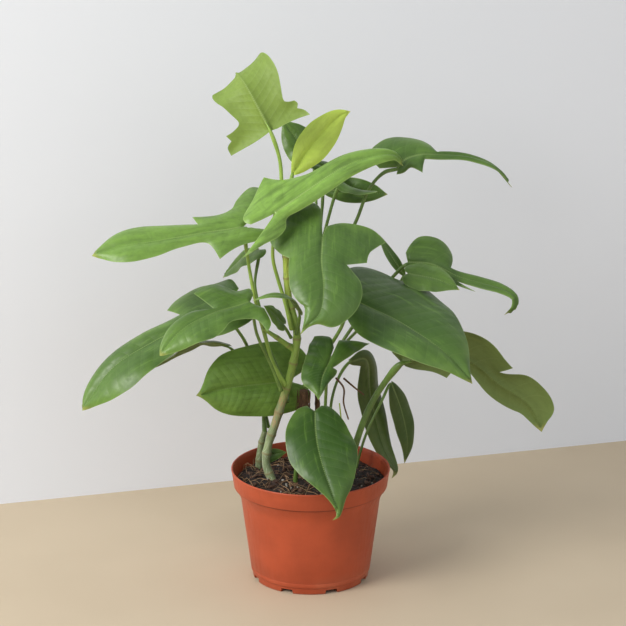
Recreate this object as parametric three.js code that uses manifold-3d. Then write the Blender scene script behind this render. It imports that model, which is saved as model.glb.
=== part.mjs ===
// Potted philodendron: a moulded nursery pot filled with potting mix, with upright stems,
// long petioles and thin, lobed leaf blades. Millimetres, +Z up. The origin is the centre
// of the pot's flat underside.
import * as THREE from 'three';
import { mergeVertices } from 'three/addons/utils/BufferGeometryUtils.js';
import Module from 'manifold-3d';

// ---------------------------------------------------------------- driving dimensions

const POT = {
  height: 118,
  rimRadius: 82.5,
  bandRadius: 79.5,
  bandHeight: 19,
  shoulderRadius: 72.5,
  shoulderDrop: 31,
  footRadius: 62,
  baseRadius: 60.5,
  footHeight: 7,
  wall: 1.8,
  floor: 2.4,
  sides: 40,
};
const NOTCH = { count: 8, firstAngle: 21, width: 15, height: 4.5, inward: 10 };
const SOIL = { level: 104, gap: 0.4, rings: 5, sides: 28 };
const CLODS = { height: 2.2, long: 11, short: 9, small: 5, smallAcross: 4 };
const BLADE = { thickness: 1, gap: 0.4, rowsInLobe: 4, rowsInBlade: 9, columns: 2 };
const TUBE = { sides: 6, spacing: 20, fewestSteps: 3 };
const SOCKET_GAP = 0.35;
const SEAT = { long: 4, wide: 6, high: 4, forward: 1 };
const ROUGHNESS = { pot: 0.55, soil: 1, stem: 0.7, petiole: 0.5, blade: 0.45 };

const COLOURS = {
  pot: '#b9502f',
  soil: '#35241c',
  stem: '#9fae7c',
  bark: '#6d5138',
  root: '#4a3524',
  petiole: '#6d9440',
  blade: '#3f6b34',
  freshBlade: '#7fb24a',
  youngBlade: '#b2cf52',
  oldBlade: '#3c5230',
};

// ---------------------------------------------------------------- leaf outlines

// Half outlines of a blade, from the rear end of its basal lobe round to the tip. Each point is
// [along, across] in hundredths of the midrib's length, along counted from the petiole's end.
// A third value of 1 marks a corner.
const FORMS = {
  heart: [[-18, 9], [-21, 22], [-12, 34], [8, 38], [34, 36], [60, 27], [80, 15], [93, 5], [100, 0]],
  roundHeart: [[-18, 9], [-21, 22], [-10, 35], [14, 40], [40, 38], [64, 33], [80, 23], [90, 10],
    [95, 4], [100, 0]],
  ovate: [[-7, 5], [-9, 14], [0, 25], [22, 31], [48, 29], [70, 21], [88, 8], [95, 3], [100, 0]],
  lance: [[-3, 2], [8, 10], [30, 18], [55, 18], [78, 12], [93, 4], [100, 0]],
  sliver: [[-3, 2], [10, 9], [40, 12], [70, 8], [92, 3], [100, 0]],
  slopingFar: [[-14, 6], [-20, 22], [-12, 38], [8, 45], [34, 46], [54, 38], [76, 22], [92, 6],
    [100, 0]],
  slopingNear: [[-2, 5], [2, 13], [20, 24], [45, 24], [70, 17], [88, 7], [100, 0]],
  fiddleUpper: [[-20, 20], [-22, 34], [-14, 39], [-2, 28], [4, 19], [14, 15], [30, 17, 1], [28, 9, 1],
    [45, 12], [66, 15], [82, 12], [94, 5], [100, 0]],
  fiddleLower: [[-18, 6], [-18, 13], [-4, 14], [7, 16], [20, 23, 1], [26, 9], [43, 9], [60, 13],
    [74, 15], [86, 12], [95, 5], [100, 0]],
  tuftedUpper: [[-8, 8], [-9, 17], [3, 20], [8, 29], [15, 35], [29, 36], [37, 33, 1], [33, 5, 1],
    [48, 11], [60, 12], [76, 11], [92, 6], [100, 0]],
  tuftedLower: [[-8, 12], [-5, 30], [2, 37, 1], [3, 26], [8, 19], [26, 16], [40, 22], [58, 25],
    [82, 16], [96, 5], [100, 0]],
  longUpper: [[-12, 10], [-10, 22], [2, 25], [14, 24], [23, 23], [29, 19, 1], [24, 10, 1], [45, 10],
    [62, 10], [80, 9], [93, 6], [100, 0]],
  longLower: [[-12, 8], [-10, 16], [6, 17], [20, 14], [40, 15], [55, 18], [70, 19], [84, 14], [95, 5],
    [100, 0]],
  horseLeft: [[-12, 3], [-17, 16], [-17, 33], [-13, 45], [-5, 54, 1], [9, 41], [23, 38, 1], [28, 21, 1],
    [37, 26], [46, 31], [56, 32], [66, 28], [76, 16], [82, 4], [100, 0]],
  horseRight: [[-30, 2], [-37, 10], [-28, 30], [-12, 40], [2, 44], [14, 36], [20, 27, 1], [34, 28],
    [50, 28], [60, 24], [70, 18], [80, 12], [90, 3], [100, 0]],
  spreadingLeft: [[-3, 43, 1], [6, 41], [9, 40, 1], [17, 39, 1], [19, 27, 1], [36, 33], [52, 37],
    [70, 30], [86, 16], [94, 4], [100, 0]],
  spreadingRight: [[0, 50, 1], [8, 46], [15, 45, 1], [20, 25, 1], [38, 30], [58, 29], [76, 22],
    [90, 10], [100, 0]],
  freshFar: [[-17, 3], [-19, 7], [-16, 12], [-4, 19], [5, 25], [12, 30, 1], [18, 20], [26, 14],
    [36, 10], [52, 9], [68, 8], [82, 6], [94, 3], [100, 0]],
  freshNear: [[-36, 14, 1], [-20, 13], [-9, 14], [-1, 12], [4, 7], [14, 8], [26, 9], [40, 9], [60, 8],
    [80, 6], [94, 3], [100, 0]],
  raisedFar: [[-10, 10], [-8, 22], [2, 26], [11, 25], [20, 20], [29, 12], [34, 4, 1], [60, 6], [75, 6],
    [90, 3], [100, 0]],
  raisedNear: [[-5, 3], [0, 6], [9, 8], [18, 15, 1], [24, 4, 1], [50, 5], [70, 5], [88, 3], [100, 0]],
  roundedFar: [[-2, 8], [1, 15], [7, 22], [14, 24], [22, 23], [28, 19], [31, 13], [32, 5, 1],
    [50, 7], [70, 8], [86, 5], [100, 0]],
  tailedNear: [[-5, 3], [8, 5], [22, 6], [34, 7], [55, 9, 1], [40, 4, 1], [55, 5], [70, 6], [86, 4],
    [100, 0]],
  frontLeft: [[-5, 6], [-3, 14], [12, 26], [34, 32], [55, 29], [72, 20], [85, 9], [93, 3], [100, 0]],
  frontRight: [[-5, 6], [-2, 14], [8, 21], [22, 25], [41, 25], [54, 20], [70, 10], [83, 3], [100, 0]],
  middleLeft: [[-98, 3], [-137, 83, 1], [-104, 66], [-63, 45], [-9, 16, 1], [-6, 28], [6, 30], [30, 24],
    [56, 15], [85, 5], [100, 0]],
  middleRight: [[-70, 2], [-96, 18], [-97, 38], [-88, 62, 1], [-60, 66], [-30, 63], [10, 60],
    [45, 54], [62, 44],
    [72, 28], [84, 12], [100, 0]],
  earedNear: [[-30, 4], [-70, 8], [-96, 16], [-80, 26], [-40, 30], [0, 30], [35, 28], [70, 20], [92, 6],
    [100, 0]],
  drapedLower: [[2, 3], [8, 6], [18, 9], [26, 12, 1], [34, 4, 1], [48, 7], [62, 9], [76, 9], [88, 6],
    [95, 3], [100, 0]],
  drapedUpper: [[-4, 6], [0, 12], [16, 17], [40, 17], [52, 15], [60, 14, 1], [56, 6, 1], [70, 13],
    [80, 13],
    [88, 11], [94, 5], [100, 0]],
};

// ---------------------------------------------------------------- leaves

// rib: points along the midrib from the petiole's end to the tip. faces: the way the upper side
// looks at the petiole. twist: turn of the blade about the midrib by the tip, in degrees.
// fold: how far the left and right halves rise from flat, in degrees. cup: how far the margins
// bend back down. ear: how far the basal lobes tilt up. left, right: outline form and its width.
// petiole: points from its foot up to the blade, and its radius.
const LEAVES = {
  crown: {
    colour: 'blade', rib: [[-40, 6, 474], [-54, 15, 499], [-66, 26, 518], [-75, 48, 524],
      [-74, 64, 512]],
    faces: [-0.1, 1, 0.2], twist: 0, fold: [14, 14], cup: 8, ear: 0,
    left: ['spreadingLeft', 0.92], right: ['spreadingRight', 0.98],
    radius: 2.2, petiole: [[-29, 0, 384], [-29, 4, 410], [-31, 5, 445], [-40, 6, 474]],
  },
  young: {
    colour: 'youngBlade', rib: [[-17, 28, 426], [-4, 40, 443], [14, 58, 461], [31, 72, 475],
      [41, 77, 478]],
    faces: [0.3, -1, 0.3], twist: 0, fold: [14, 14], cup: 10, ear: 0,
    left: ['lance', 1], right: ['lance', 1],
    radius: 2.2, petiole: [[-23, 4, 384], [-22, 14, 402], [-20, 22, 416], [-17, 28, 426]],
  },
  fresh: {
    colour: 'freshBlade',
    rib: [[-35, -32, 399], [-10, -20, 414], [40, 2, 441], [83, 22, 445], [94, 26, 433]],
    faces: [-0.2, -0.7, 0.7], twist: 0, fold: [0, -15], cup: 20, ear: 20,
    left: ['freshFar', 1], right: ['freshNear', 1],
    radius: 2.1, petiole: [[-19, -5, 269], [-27, -5, 302], [-33, -4, 322], [-38, -7, 345],
      [-37, -13, 372], [-36, -22, 390], [-35, -32, 399]],
  },
  back: {
    colour: 'blade', rib: [[30, 38, 416], [15, 46, 426], [-9, 55, 431]],
    faces: [0, -0.2, 1], twist: 0, fold: [0, 0], cup: 20, ear: 30,
    left: ['earedNear', 1], right: ['ovate', 1],
    radius: 2, petiole: [[2, 10, 272], [4, 18, 315], [13, 30, 356], [23, 38, 393], [30, 38, 416]],
  },
  back_low: {
    colour: 'blade', rib: [[14, 52, 400], [32, 50, 402], [56, 46, 401], [79, 42, 399]],
    faces: [0, -1, 0.3], twist: 0, fold: [0, 0], cup: 15, ear: 0,
    left: ['lance', 1.05], right: ['lance', 1.05],
    radius: 1.8, petiole: [[6, 22, 272], [8, 34, 315], [10, 46, 354], [12, 51, 383], [14, 52, 400]],
  },
  rear: {
    colour: 'blade', rib: [[2, 88, 424], [-12, 100, 440], [-30, 110, 462]],
    faces: [-0.3, -0.6, 0.7], twist: 0, fold: [6, 6], cup: 15, ear: 0,
    left: ['ovate', 1.1], right: ['ovate', 1.1],
    radius: 1.9, petiole: [[4, 30, 320], [6, 60, 370], [2, 88, 424]],
  },
  centre: {
    colour: 'blade', rib: [[12, -34, 374], [11, -58, 356], [13, -82, 335], [9, -96, 314],
      [-4, -101, 302], [-10, -96, 292]],
    faces: [0, -0.75, 0.65], twist: 0, fold: [0, 0], cup: 15, ear: 0,
    left: ['horseLeft', 1], right: ['horseRight', 1],
    radius: 2.2, petiole: [[-4, -4, 292], [2, -5, 320], [10, -20, 355], [12, -34, 374]],
  },
  upper_left: {
    colour: 'blade', rib: [[-68, -5, 377], [-101, -12, 374], [-151, -22, 368], [-196, -28, 362],
      [-219, -30, 354]],
    faces: [0, -0.5, 0.85], twist: 0, fold: [0, 0], cup: 15, ear: 0,
    left: ['fiddleLower', 1], right: ['fiddleUpper', 1],
    radius: 2.2, petiole: [[-26, -4, 208], [-38, -4, 232], [-47, -4, 264], [-55, -4, 295],
      [-61, -4, 327], [-65, -6, 355], [-68, -5, 377]],
  },
  small_back: {
    colour: 'blade', rib: [[-54, 32, 343], [-66, 36, 337], [-78, 42, 324], [-91, 50, 308]],
    faces: [-0.5, -0.4, 0.8], twist: 0, fold: [10, 10], cup: 10, ear: 0,
    left: ['heart', 0.9], right: ['lance', 0.8],
    radius: 1.8, petiole: [[-26, 4, 205], [-35, 8, 226], [-43, 12, 244], [-51, 16, 281],
      [-57, 22, 309], [-54, 32, 343]],
  },
  mid_left: {
    colour: 'blade', rib: [[-61, -38, 308], [-100, -60, 302], [-129, -78, 290], [-149, -92, 269]],
    faces: [-0.1, -0.5, 0.85], twist: 0, fold: [0, 0], cup: 10, ear: 0,
    left: ['tuftedLower', 1], right: ['tuftedUpper', 1],
    radius: 1.9, petiole: [[-30, -8, 204], [-40, -14, 233], [-54, -26, 270], [-61, -38, 308]],
  },
  low_left: {
    colour: 'blade', rib: [[-87, 0, 290], [-151, -15, 264], [-201, -30, 235], [-232, -38, 193]],
    faces: [-0.3, -0.5, 0.8], twist: 0, fold: [0, 0], cup: 15, ear: 0,
    left: ['longLower', 1], right: ['longUpper', 1],
    radius: 2.1, petiole: [[-48, 30, 146], [-50, 40, 172], [-55, 40, 197], [-66, 37, 238],
      [-80, 9, 272], [-87, 0, 290]],
  },
  heart_left: {
    colour: 'blade', rib: [[-23, 30, 202], [-50, 20, 202], [-82, 2, 204], [-117, -20, 203]],
    faces: [-0.1, -1, 0.25], twist: 0, fold: [4, 4], cup: 20, ear: 0,
    left: ['roundHeart', 0.8], right: ['roundHeart', 1],
    radius: 2, petiole: [[-24, 6, 188], [-24, 22, 193], [-23, 30, 202]],
  },
  sliver_left: {
    colour: 'oldBlade', rib: [[-84, 24, 242], [-114, 26, 245], [-140, 28, 230], [-164, 28, 216]],
    faces: [0, 0.4, 1], twist: 0, fold: [0, 0], cup: 10, ear: 0,
    left: ['sliver', 1.9], right: ['sliver', 1.9],
    radius: 1.6, petiole: [[-44, 38, 148], [-54, 47, 188], [-72, 42, 220], [-84, 24, 242]],
  },
  hooked: {
    colour: 'blade', rib: [[-10, -20, 290], [-14, -28, 301], [-23, -38, 314], [-42, -46, 317],
      [-58, -50, 313]],
    faces: [0.2, -0.2, 1], twist: 0, fold: [0, 0], cup: 10, ear: 0,
    left: ['lance', 0.7], right: ['lance', 0.7],
    radius: 1.8, petiole: [[-14, -8, 265], [-12, -14, 279], [-10, -20, 290]],
  },
  olive: {
    colour: 'blade', rib: [[-27, -25, 281], [-39, -35, 297], [-47, -40, 305]],
    faces: [0.6, -0.5, 0.6], twist: 0, fold: [0, 0], cup: 10, ear: 0,
    left: ['ovate', 1], right: ['ovate', 1],
    radius: 1.5, petiole: [[-20, -10, 262], [-24, -18, 272], [-27, -25, 281]],
  },
  upper_right: {
    colour: 'blade', rib: [[89, 33, 430], [97, 38, 437], [112, 44, 440], [132, 46, 439],
      [163, 46, 436], [188, 45, 426], [206, 44, 406]],
    faces: [-0.2, -0.3, 1], twist: -40, fold: [30, -50], cup: 10, ear: 0,
    left: ['raisedFar', 1], right: ['raisedNear', 1],
    radius: 2.1, petiole: [[4, 8, 286], [25, 14, 336], [46, 20, 376], [60, 25, 410], [75, 31, 425],
      [89, 33, 430]],
  },
  big_right: {
    colour: 'blade', rib: [[42, -22, 306], [90, -48, 290], [134, -72, 266], [161, -84, 237]],
    faces: [0.2, -0.5, 0.8], twist: 0, fold: [0, 0], cup: 20, ear: 0,
    left: ['slopingFar', 1], right: ['slopingNear', 1],
    radius: 2.2, petiole: [[-6, 4, 205], [14, 4, 239], [31, -6, 271], [42, -22, 306]],
  },
  right_behind: {
    colour: 'blade', rib: [[100, 16, 322], [130, 12, 317], [152, 8, 307]],
    faces: [0, -0.6, 0.8], twist: 0, fold: [0, 0], cup: 15, ear: 0,
    left: ['ovate', 1], right: ['ovate', 1],
    radius: 1.8, petiole: [[6, 22, 212], [38, 42, 242], [76, 48, 280], [98, 36, 311], [100, 16, 322]],
  },
  right: {
    colour: 'blade', rib: [[100, 38, 328], [123, 36, 327], [151, 34, 314], [174, 30, 308],
      [195, 26, 303], [209, 22, 294], [208, 18, 286], [199, 16, 278]],
    faces: [-0.2, -0.4, 0.9], twist: -30, fold: [30, -40], cup: 15, ear: 0,
    left: ['roundedFar', 0.93], right: ['tailedNear', 1],
    radius: 2, petiole: [[10, 16, 205], [36, 26, 251], [60, 38, 281], [82, 42, 308], [100, 38, 328]],
  },
  narrow_right: {
    colour: 'blade', rib: [[97, 58, 309], [82, 64, 330], [70, 72, 349]],
    faces: [0.5, -0.8, 0.2], twist: 0, fold: [0, 0], cup: 10, ear: 0,
    left: ['sliver', 1], right: ['sliver', 1],
    radius: 1.6, petiole: [[50, 60, 254], [80, 60, 284], [97, 58, 309]],
  },
  front: {
    colour: 'blade', rib: [[4, -28, 189], [6, -52, 168], [12, -76, 148], [22, -95, 122],
      [27, -101, 104], [22, -103, 99]],
    faces: [0.1, -0.75, 0.65], twist: 0, fold: [0, 0], cup: 15, ear: 0,
    left: ['frontLeft', 1], right: ['frontRight', 1],
    radius: 2.4, petiole: [[-16, -8, 98], [-15, -12, 118], [-9, -20, 155], [4, -28, 189]],
  },
  middle: {
    colour: 'blade', rib: [[16, -30, 236], [12, -40, 229], [8, -58, 211]],
    faces: [0.1, -0.7, 0.7], twist: 0, fold: [0, 0], cup: 10, ear: 0,
    left: ['middleLeft', 1], right: ['middleRight', 1],
    radius: 2, petiole: [[12, -5, 98], [15, -10, 184], [16, -20, 214], [16, -30, 236]],
  },
  hanging: {
    colour: 'oldBlade', rib: [[43, 44, 219], [58, 56, 217], [64, 70, 169], [78, 68, 114],
      [90, 60, 91], [86, 56, 84]],
    faces: [0.5, -0.85, 0.1], twist: 25, fold: [-10, -10], cup: 10, ear: 0,
    left: ['lance', 0.52], right: ['lance', 0.52],
    radius: 1.8, petiole: [[20, 28, 98], [22, 32, 180], [32, 40, 208], [43, 44, 219]],
  },
  hanging_thin: {
    colour: 'oldBlade', rib: [[85, 60, 189], [96, 68, 157], [103, 72, 118], [100, 70, 96]],
    faces: [0.5, -0.8, 0.2], twist: 0, fold: [-10, -10], cup: 10, ear: 0,
    left: ['lance', 0.7], right: ['lance', 0.7],
    radius: 1.6, petiole: [[46, 34, 98], [58, 40, 139], [75, 50, 174], [85, 60, 189]],
  },
  low_right: {
    colour: 'oldBlade', rib: [[93, 8, 230], [133, 4, 236], [164, 0, 233], [194, -6, 210],
      [225, -10, 189], [238, -10, 160]],
    faces: [-0.2, 0.95, 0.3], twist: 0, fold: [0, 0], cup: 15, ear: 0,
    left: ['drapedLower', 1.2], right: ['drapedUpper', 1.2],
    radius: 3.4, petiole: [[42, 2, 97], [44, 5, 128], [58, 12, 172], [73, 14, 200], [93, 12, 229]],
  },
  low_scrap: {
    colour: 'blade', rib: [[-52, 44, 110], [-40, 45, 115], [-25, 45, 118]],
    faces: [0, -1, 0.3], twist: 0, fold: [0, 0], cup: 0, ear: 0,
    left: ['ovate', 0.8], right: ['ovate', 0.8],
    radius: 1.5, petiole: [[-56, 42, 98], [-55, 43, 105], [-52, 44, 110]],
  },
};

// ---------------------------------------------------------------- stems

// Each stem is one piece, made of one or more tubes: colour, then a radius and a route for each.
const STEMS = {
  main_stem: {
    colour: 'stem',
    tubes: [
      [4.2, [[-38, -4, 97], [-46, 0, 121], [-44, 1, 141], [-36, 1, 167], [-27, 0, 197], [-19, -1, 226],
        [-14, -1, 256], [-15, 0, 272], [-22, 1, 299], [-24, 1, 322], [-25, 1, 344], [-26, 2, 388]]],
      [2.6, [[-17, -1, 246], [-32, -9, 260], [-48, -15, 273]]],
    ],
  },
  second_stem: { colour: 'stem', tubes: [[3.7, [[-55, 35, 97], [-52, 33, 130], [-48, 30, 148]]]] },
  old_stem: { colour: 'bark', tubes: [[7, [[-6, 9, 96], [-7, 9, 140], [-7, 8, 200]]]] },
  back_stem: { colour: 'stem', tubes: [[3, [[6, 30, 96], [6, 30, 137], [7, 20, 184], [4, 8, 215]]]] },
  root_straight: { colour: 'root', tubes: [[1, [[26, -5, 217], [34, -5, 206], [34, -5, 190],
    [39, -5, 172]]]] },
  root_curved: { colour: 'root', tubes: [[1, [[34, 0, 215], [44, 0, 206], [55, 0, 197]]]] },
};

// ---------------------------------------------------------------- helpers

const HUNDREDTH = 0.01;
const SLOPE_STEP = 0.004;
const FRAME_STEPS = 24;
const CUP_SPAN = 0.8;
const FOLD_FADE = 0.8;
const vector = ([x, y, z]) => new THREE.Vector3(x, y, z);
const radians = THREE.MathUtils.degToRad;

function material(colour, roughness) {
  return new THREE.MeshStandardMaterial({ color: COLOURS[colour], roughness, metalness: 0 });
}

// Directions along, up and left at even steps of a midrib, turned as little as possible.
function ribFrames(curve, faces, twist) {
  const frames = [];
  const up = vector(faces);
  let before = null;
  for (let step = 0; step <= FRAME_STEPS; step += 1) {
    const share = step / FRAME_STEPS;
    const along = curve.getTangentAt(share).normalize();
    if (before) up.applyQuaternion(new THREE.Quaternion().setFromUnitVectors(before, along));
    up.addScaledVector(along, -up.dot(along)).normalize();
    before = along;
    const turned = up.clone().applyAxisAngle(along, radians(twist) * share);
    frames.push({ along, up: turned, left: turned.clone().cross(along) });
  }
  return frames;
}

// The blade's middle surface as a point for (along, across), both as shares of the midrib.
// Across is positive on the left half.
function bladeSurface(leaf) {
  const curve = new THREE.CatmullRomCurve3(leaf.rib.map(vector), false, 'centripetal');
  const length = curve.getLength();
  const frames = ribFrames(curve, leaf.faces, leaf.twist);
  return (along, across) => {
    const share = Math.min(Math.max(along, 0), 1);
    const place = share * FRAME_STEPS;
    const index = Math.min(Math.floor(place), FRAME_STEPS - 1);
    const mix = place - index;
    const up = frames[index].up.clone().lerp(frames[index + 1].up, mix).normalize();
    const left = frames[index].left.clone().lerp(frames[index + 1].left, mix).normalize();
    const behind = Math.min(along, 0);
    const fold = radians(across > 0 ? leaf.fold[0] : leaf.fold[1]) * (1 - FOLD_FADE * share);
    const angle = fold - radians(leaf.cup) * Math.abs(across) / CUP_SPAN;
    const reach = Math.abs(across) * length;
    return curve.getPointAt(share)
      .addScaledVector(frames[0].along, behind * length)
      .addScaledVector(frames[0].up, behind * behind * length * Math.tan(radians(leaf.ear)))
      .addScaledVector(left, Math.sign(across) * reach * Math.cos(angle))
      .addScaledVector(up, reach * Math.sin(angle));
  };
}

// Even points along a half outline, with the corners kept.
function marginPoints([form, width], count) {
  const path = new THREE.CurvePath();
  const corners = [];
  let run = [];
  FORMS[form].forEach(([along, across, corner], index, all) => {
    run.push(new THREE.Vector2(along * HUNDREDTH, across * width * HUNDREDTH));
    const last = index === all.length - 1;
    if ((corner || last) && run.length > 1) {
      path.add(run.length === 2 ? new THREE.LineCurve(run[0], run[1]) : new THREE.SplineCurve(run));
      if (!last) corners.push({ point: run.at(-1), share: path.getLength() });
      run = [run.at(-1)];
    }
  });
  const total = path.getLength();
  const points = [];
  for (let step = 0; step <= count; step += 1) points.push(path.getPointAt(step / count));
  for (const { point, share } of corners) {
    const nearest = Math.round(share / total * count);
    points[Math.min(Math.max(nearest, 1), count - 1)] = point.clone();
  }
  return points;
}

// One half of the blade as rows of (along, across) points from the midrib or sinus outwards.
function halfRows(half, side) {
  const { rowsInLobe, rowsInBlade, columns } = BLADE;
  const margin = marginPoints(half, rowsInLobe + rowsInBlade);
  return margin.map((outer, row) => {
    const inner = row <= rowsInLobe
      ? margin[0].clone().multiplyScalar(1 - row / rowsInLobe)
      : new THREE.Vector2((row - rowsInLobe) / rowsInBlade, 0);
    const points = [];
    for (let column = 0; column <= columns; column += 1) {
      const point = inner.clone().lerp(outer, column / columns);
      points.push([point.x, point.y * side]);
    }
    return points;
  });
}

function bladeGeometry(leaf, thickness) {
  const surface = bladeSurface(leaf);
  const places = [];
  const keys = new Map();
  const vertexAt = ([along, across]) => {
    const key = `${along.toFixed(5)},${(across || 0).toFixed(5)}`.replace('-0.00000', '0.00000');
    if (!keys.has(key)) {
      keys.set(key, places.length);
      places.push([along, across]);
    }
    return keys.get(key);
  };
  const faces = [];
  const addFace = (a, b, c, side) => {
    if (a !== b && b !== c && a !== c) faces.push(side > 0 ? [a, b, c] : [a, c, b]);
  };
  for (const [half, side] of [[leaf.left, 1], [leaf.right, -1]]) {
    const rows = halfRows(half, side).map((row) => row.map(vertexAt));
    for (let row = 0; row + 1 < rows.length; row += 1) {
      for (let column = 0; column < BLADE.columns; column += 1) {
        const [a, b] = [rows[row][column], rows[row + 1][column]];
        const [c, d] = [rows[row + 1][column + 1], rows[row][column + 1]];
        addFace(a, b, c, side);
        addFace(a, c, d, side);
      }
    }
  }
  return thicken(places, faces, surface, thickness);
}

// Gives a surface of places and faces its thickness and closes its edges.
function thicken(places, faces, surface, thickness) {
  const tops = [];
  const bottoms = [];
  for (const [along, across] of places) {
    const middle = surface(along, across);
    const side = across < 0 ? -SLOPE_STEP : SLOPE_STEP;
    const forward = surface(along + SLOPE_STEP, across)
      .sub(surface(along - SLOPE_STEP, across));
    const outward = surface(along, across + side).sub(middle).multiplyScalar(Math.sign(side));
    const normal = forward.cross(outward).normalize();
    tops.push(middle.clone().addScaledVector(normal, thickness / 2));
    bottoms.push(middle.clone().addScaledVector(normal, -thickness / 2));
  }
  const count = places.length;
  const used = new Set(faces.flatMap(([a, b, c]) => [`${a},${b}`, `${b},${c}`, `${c},${a}`]));
  const index = [];
  for (const [a, b, c] of faces) {
    index.push(a, b, c, a + count, c + count, b + count);
    for (const [from, to] of [[a, b], [b, c], [c, a]]) {
      if (!used.has(`${to},${from}`)) index.push(to, from, from + count, to, from + count, to + count);
    }
  }
  const geometry = new THREE.BufferGeometry();
  geometry.setFromPoints([...tops, ...bottoms]);
  geometry.setIndex(index);
  return geometry;
}

function tubeGeometry(points, radius) {
  const curve = new THREE.CatmullRomCurve3(points.map(vector), false, 'centripetal');
  const section = new THREE.Shape();
  for (let side = 0; side < TUBE.sides; side += 1) {
    const angle = 2 * Math.PI * side / TUBE.sides;
    section[side ? 'lineTo' : 'moveTo'](radius * Math.cos(angle), radius * Math.sin(angle));
  }
  const steps = Math.max(TUBE.fewestSteps, Math.round(curve.getLength() / TUBE.spacing));
  return new THREE.ExtrudeGeometry(section, {
    steps, extrudePath: curve, bevelEnabled: false,
  });
}

// ---------------------------------------------------------------- solids

const wasm = await Module();
wasm.setup();

function toSolid(geometry) {
  const bare = geometry.clone();
  bare.deleteAttribute('normal');
  bare.deleteAttribute('uv');
  const merged = mergeVertices(bare);
  return new wasm.Manifold(new wasm.Mesh({
    numProp: 3,
    vertProperties: new Float32Array(merged.attributes.position.array),
    triVerts: new Uint32Array(merged.index.array),
  }));
}

function toGeometry(solid) {
  const mesh = solid.getMesh();
  const geometry = new THREE.BufferGeometry();
  geometry.setAttribute('position', new THREE.BufferAttribute(mesh.vertProperties, 3));
  geometry.setIndex(new THREE.BufferAttribute(mesh.triVerts, 1));
  return geometry;
}

// A stem's tubes joined into one solid, grown all round by a gap for what is fitted to it.
function stemSolid({ tubes }, gap = 0) {
  return tubes
    .map(([radius, route]) => toSolid(tubeGeometry(route, radius + gap)))
    .reduce((joined, tube) => joined.add(tube));
}

function largestPiece(solid) {
  return solid.decompose().reduce((best, piece) => (piece.volume() > best.volume() ? piece : best));
}

// A block that takes a petiole's end off just under its blade.
function seatGeometry({ rib, faces, radius }) {
  const curve = new THREE.CatmullRomCurve3(rib.map(vector), false, 'centripetal');
  const { along, up, left } = ribFrames(curve, faces, 0)[0];
  const under = BLADE.thickness / 2 + BLADE.gap;
  const block = new THREE.BoxGeometry(SEAT.long * radius, SEAT.wide * radius, SEAT.high * radius);
  block.translate(SEAT.forward * radius, 0, SEAT.high / 2 * radius - under);
  block.applyMatrix4(new THREE.Matrix4().makeBasis(along, left, up).setPosition(vector(rib[0])));
  return block;
}

function potGeometry() {
  const { wall, floor, height } = POT;
  const crease = height - POT.bandHeight;
  const shoulder = height - POT.shoulderDrop;
  const profile = [
    [0, 0], [POT.baseRadius, 0], [POT.baseRadius, POT.footHeight], [POT.footRadius, POT.footHeight],
    [POT.shoulderRadius, shoulder], [POT.bandRadius, crease], [POT.rimRadius, height],
    [POT.rimRadius - wall, height], [POT.bandRadius - wall, crease],
    [POT.shoulderRadius - wall, shoulder], [POT.baseRadius - wall, floor], [0, floor],
  ].map(([radius, z]) => new THREE.Vector2(radius, z));
  let solid = toSolid(new THREE.LatheGeometry(profile, POT.sides).rotateX(Math.PI / 2));
  for (let notch = 0; notch < NOTCH.count; notch += 1) {
    const cutter = new THREE.BoxGeometry(NOTCH.width, NOTCH.inward, 2 * NOTCH.height);
    cutter.translate(0, -POT.baseRadius, 0);
    cutter.rotateZ(radians(NOTCH.firstAngle + notch * 360 / NOTCH.count));
    solid = solid.subtract(toSolid(cutter));
  }
  return toGeometry(solid);
}

// Height of the potting mix above its level at a place.
function relief(x, y) {
  const large = Math.sin(x / CLODS.short + 1) * Math.cos(y / CLODS.long);
  const small = Math.sin(x / CLODS.small + y / CLODS.smallAcross);
  return CLODS.height * (large + small / 2);
}

function soilSolid() {
  const inset = POT.wall + SOIL.gap;
  const rim = POT.bandRadius - inset;
  const profile = [
    [0, POT.floor + SOIL.gap],
    [POT.baseRadius - inset, POT.floor + SOIL.gap],
    [POT.shoulderRadius - inset, POT.height - POT.shoulderDrop],
    [rim, POT.height - POT.bandHeight],
    [rim, SOIL.level],
  ];
  for (let ring = SOIL.rings - 1; ring >= 0; ring -= 1) {
    profile.push([rim * ring / SOIL.rings, SOIL.level]);
  }
  const points = profile.map(([radius, z]) => new THREE.Vector2(radius, z));
  const geometry = new THREE.LatheGeometry(points, SOIL.sides).rotateX(Math.PI / 2);
  const place = geometry.attributes.position;
  for (let index = 0; index < place.count; index += 1) {
    if (place.getZ(index) > SOIL.level - SOIL.gap) {
      place.setZ(index, SOIL.level + relief(place.getX(index), place.getY(index)));
    }
  }
  return toSolid(geometry);
}

// ---------------------------------------------------------------- assembly

const group = new THREE.Group();

function addPart(name, geometry, colour, roughness) {
  const mesh = new THREE.Mesh(geometry, material(colour, roughness));
  mesh.name = name;
  group.add(mesh);
}

addPart('pot', potGeometry(), 'pot', ROUGHNESS.pot);

const grownStems = Object.values(STEMS).map((stem) => stemSolid(stem, SOCKET_GAP));
let soil = soilSolid();
for (const grown of grownStems) soil = soil.subtract(grown);
for (const [name, stem] of Object.entries(STEMS)) {
  addPart(name, toGeometry(stemSolid(stem)), stem.colour, ROUGHNESS.stem);
}

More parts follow.
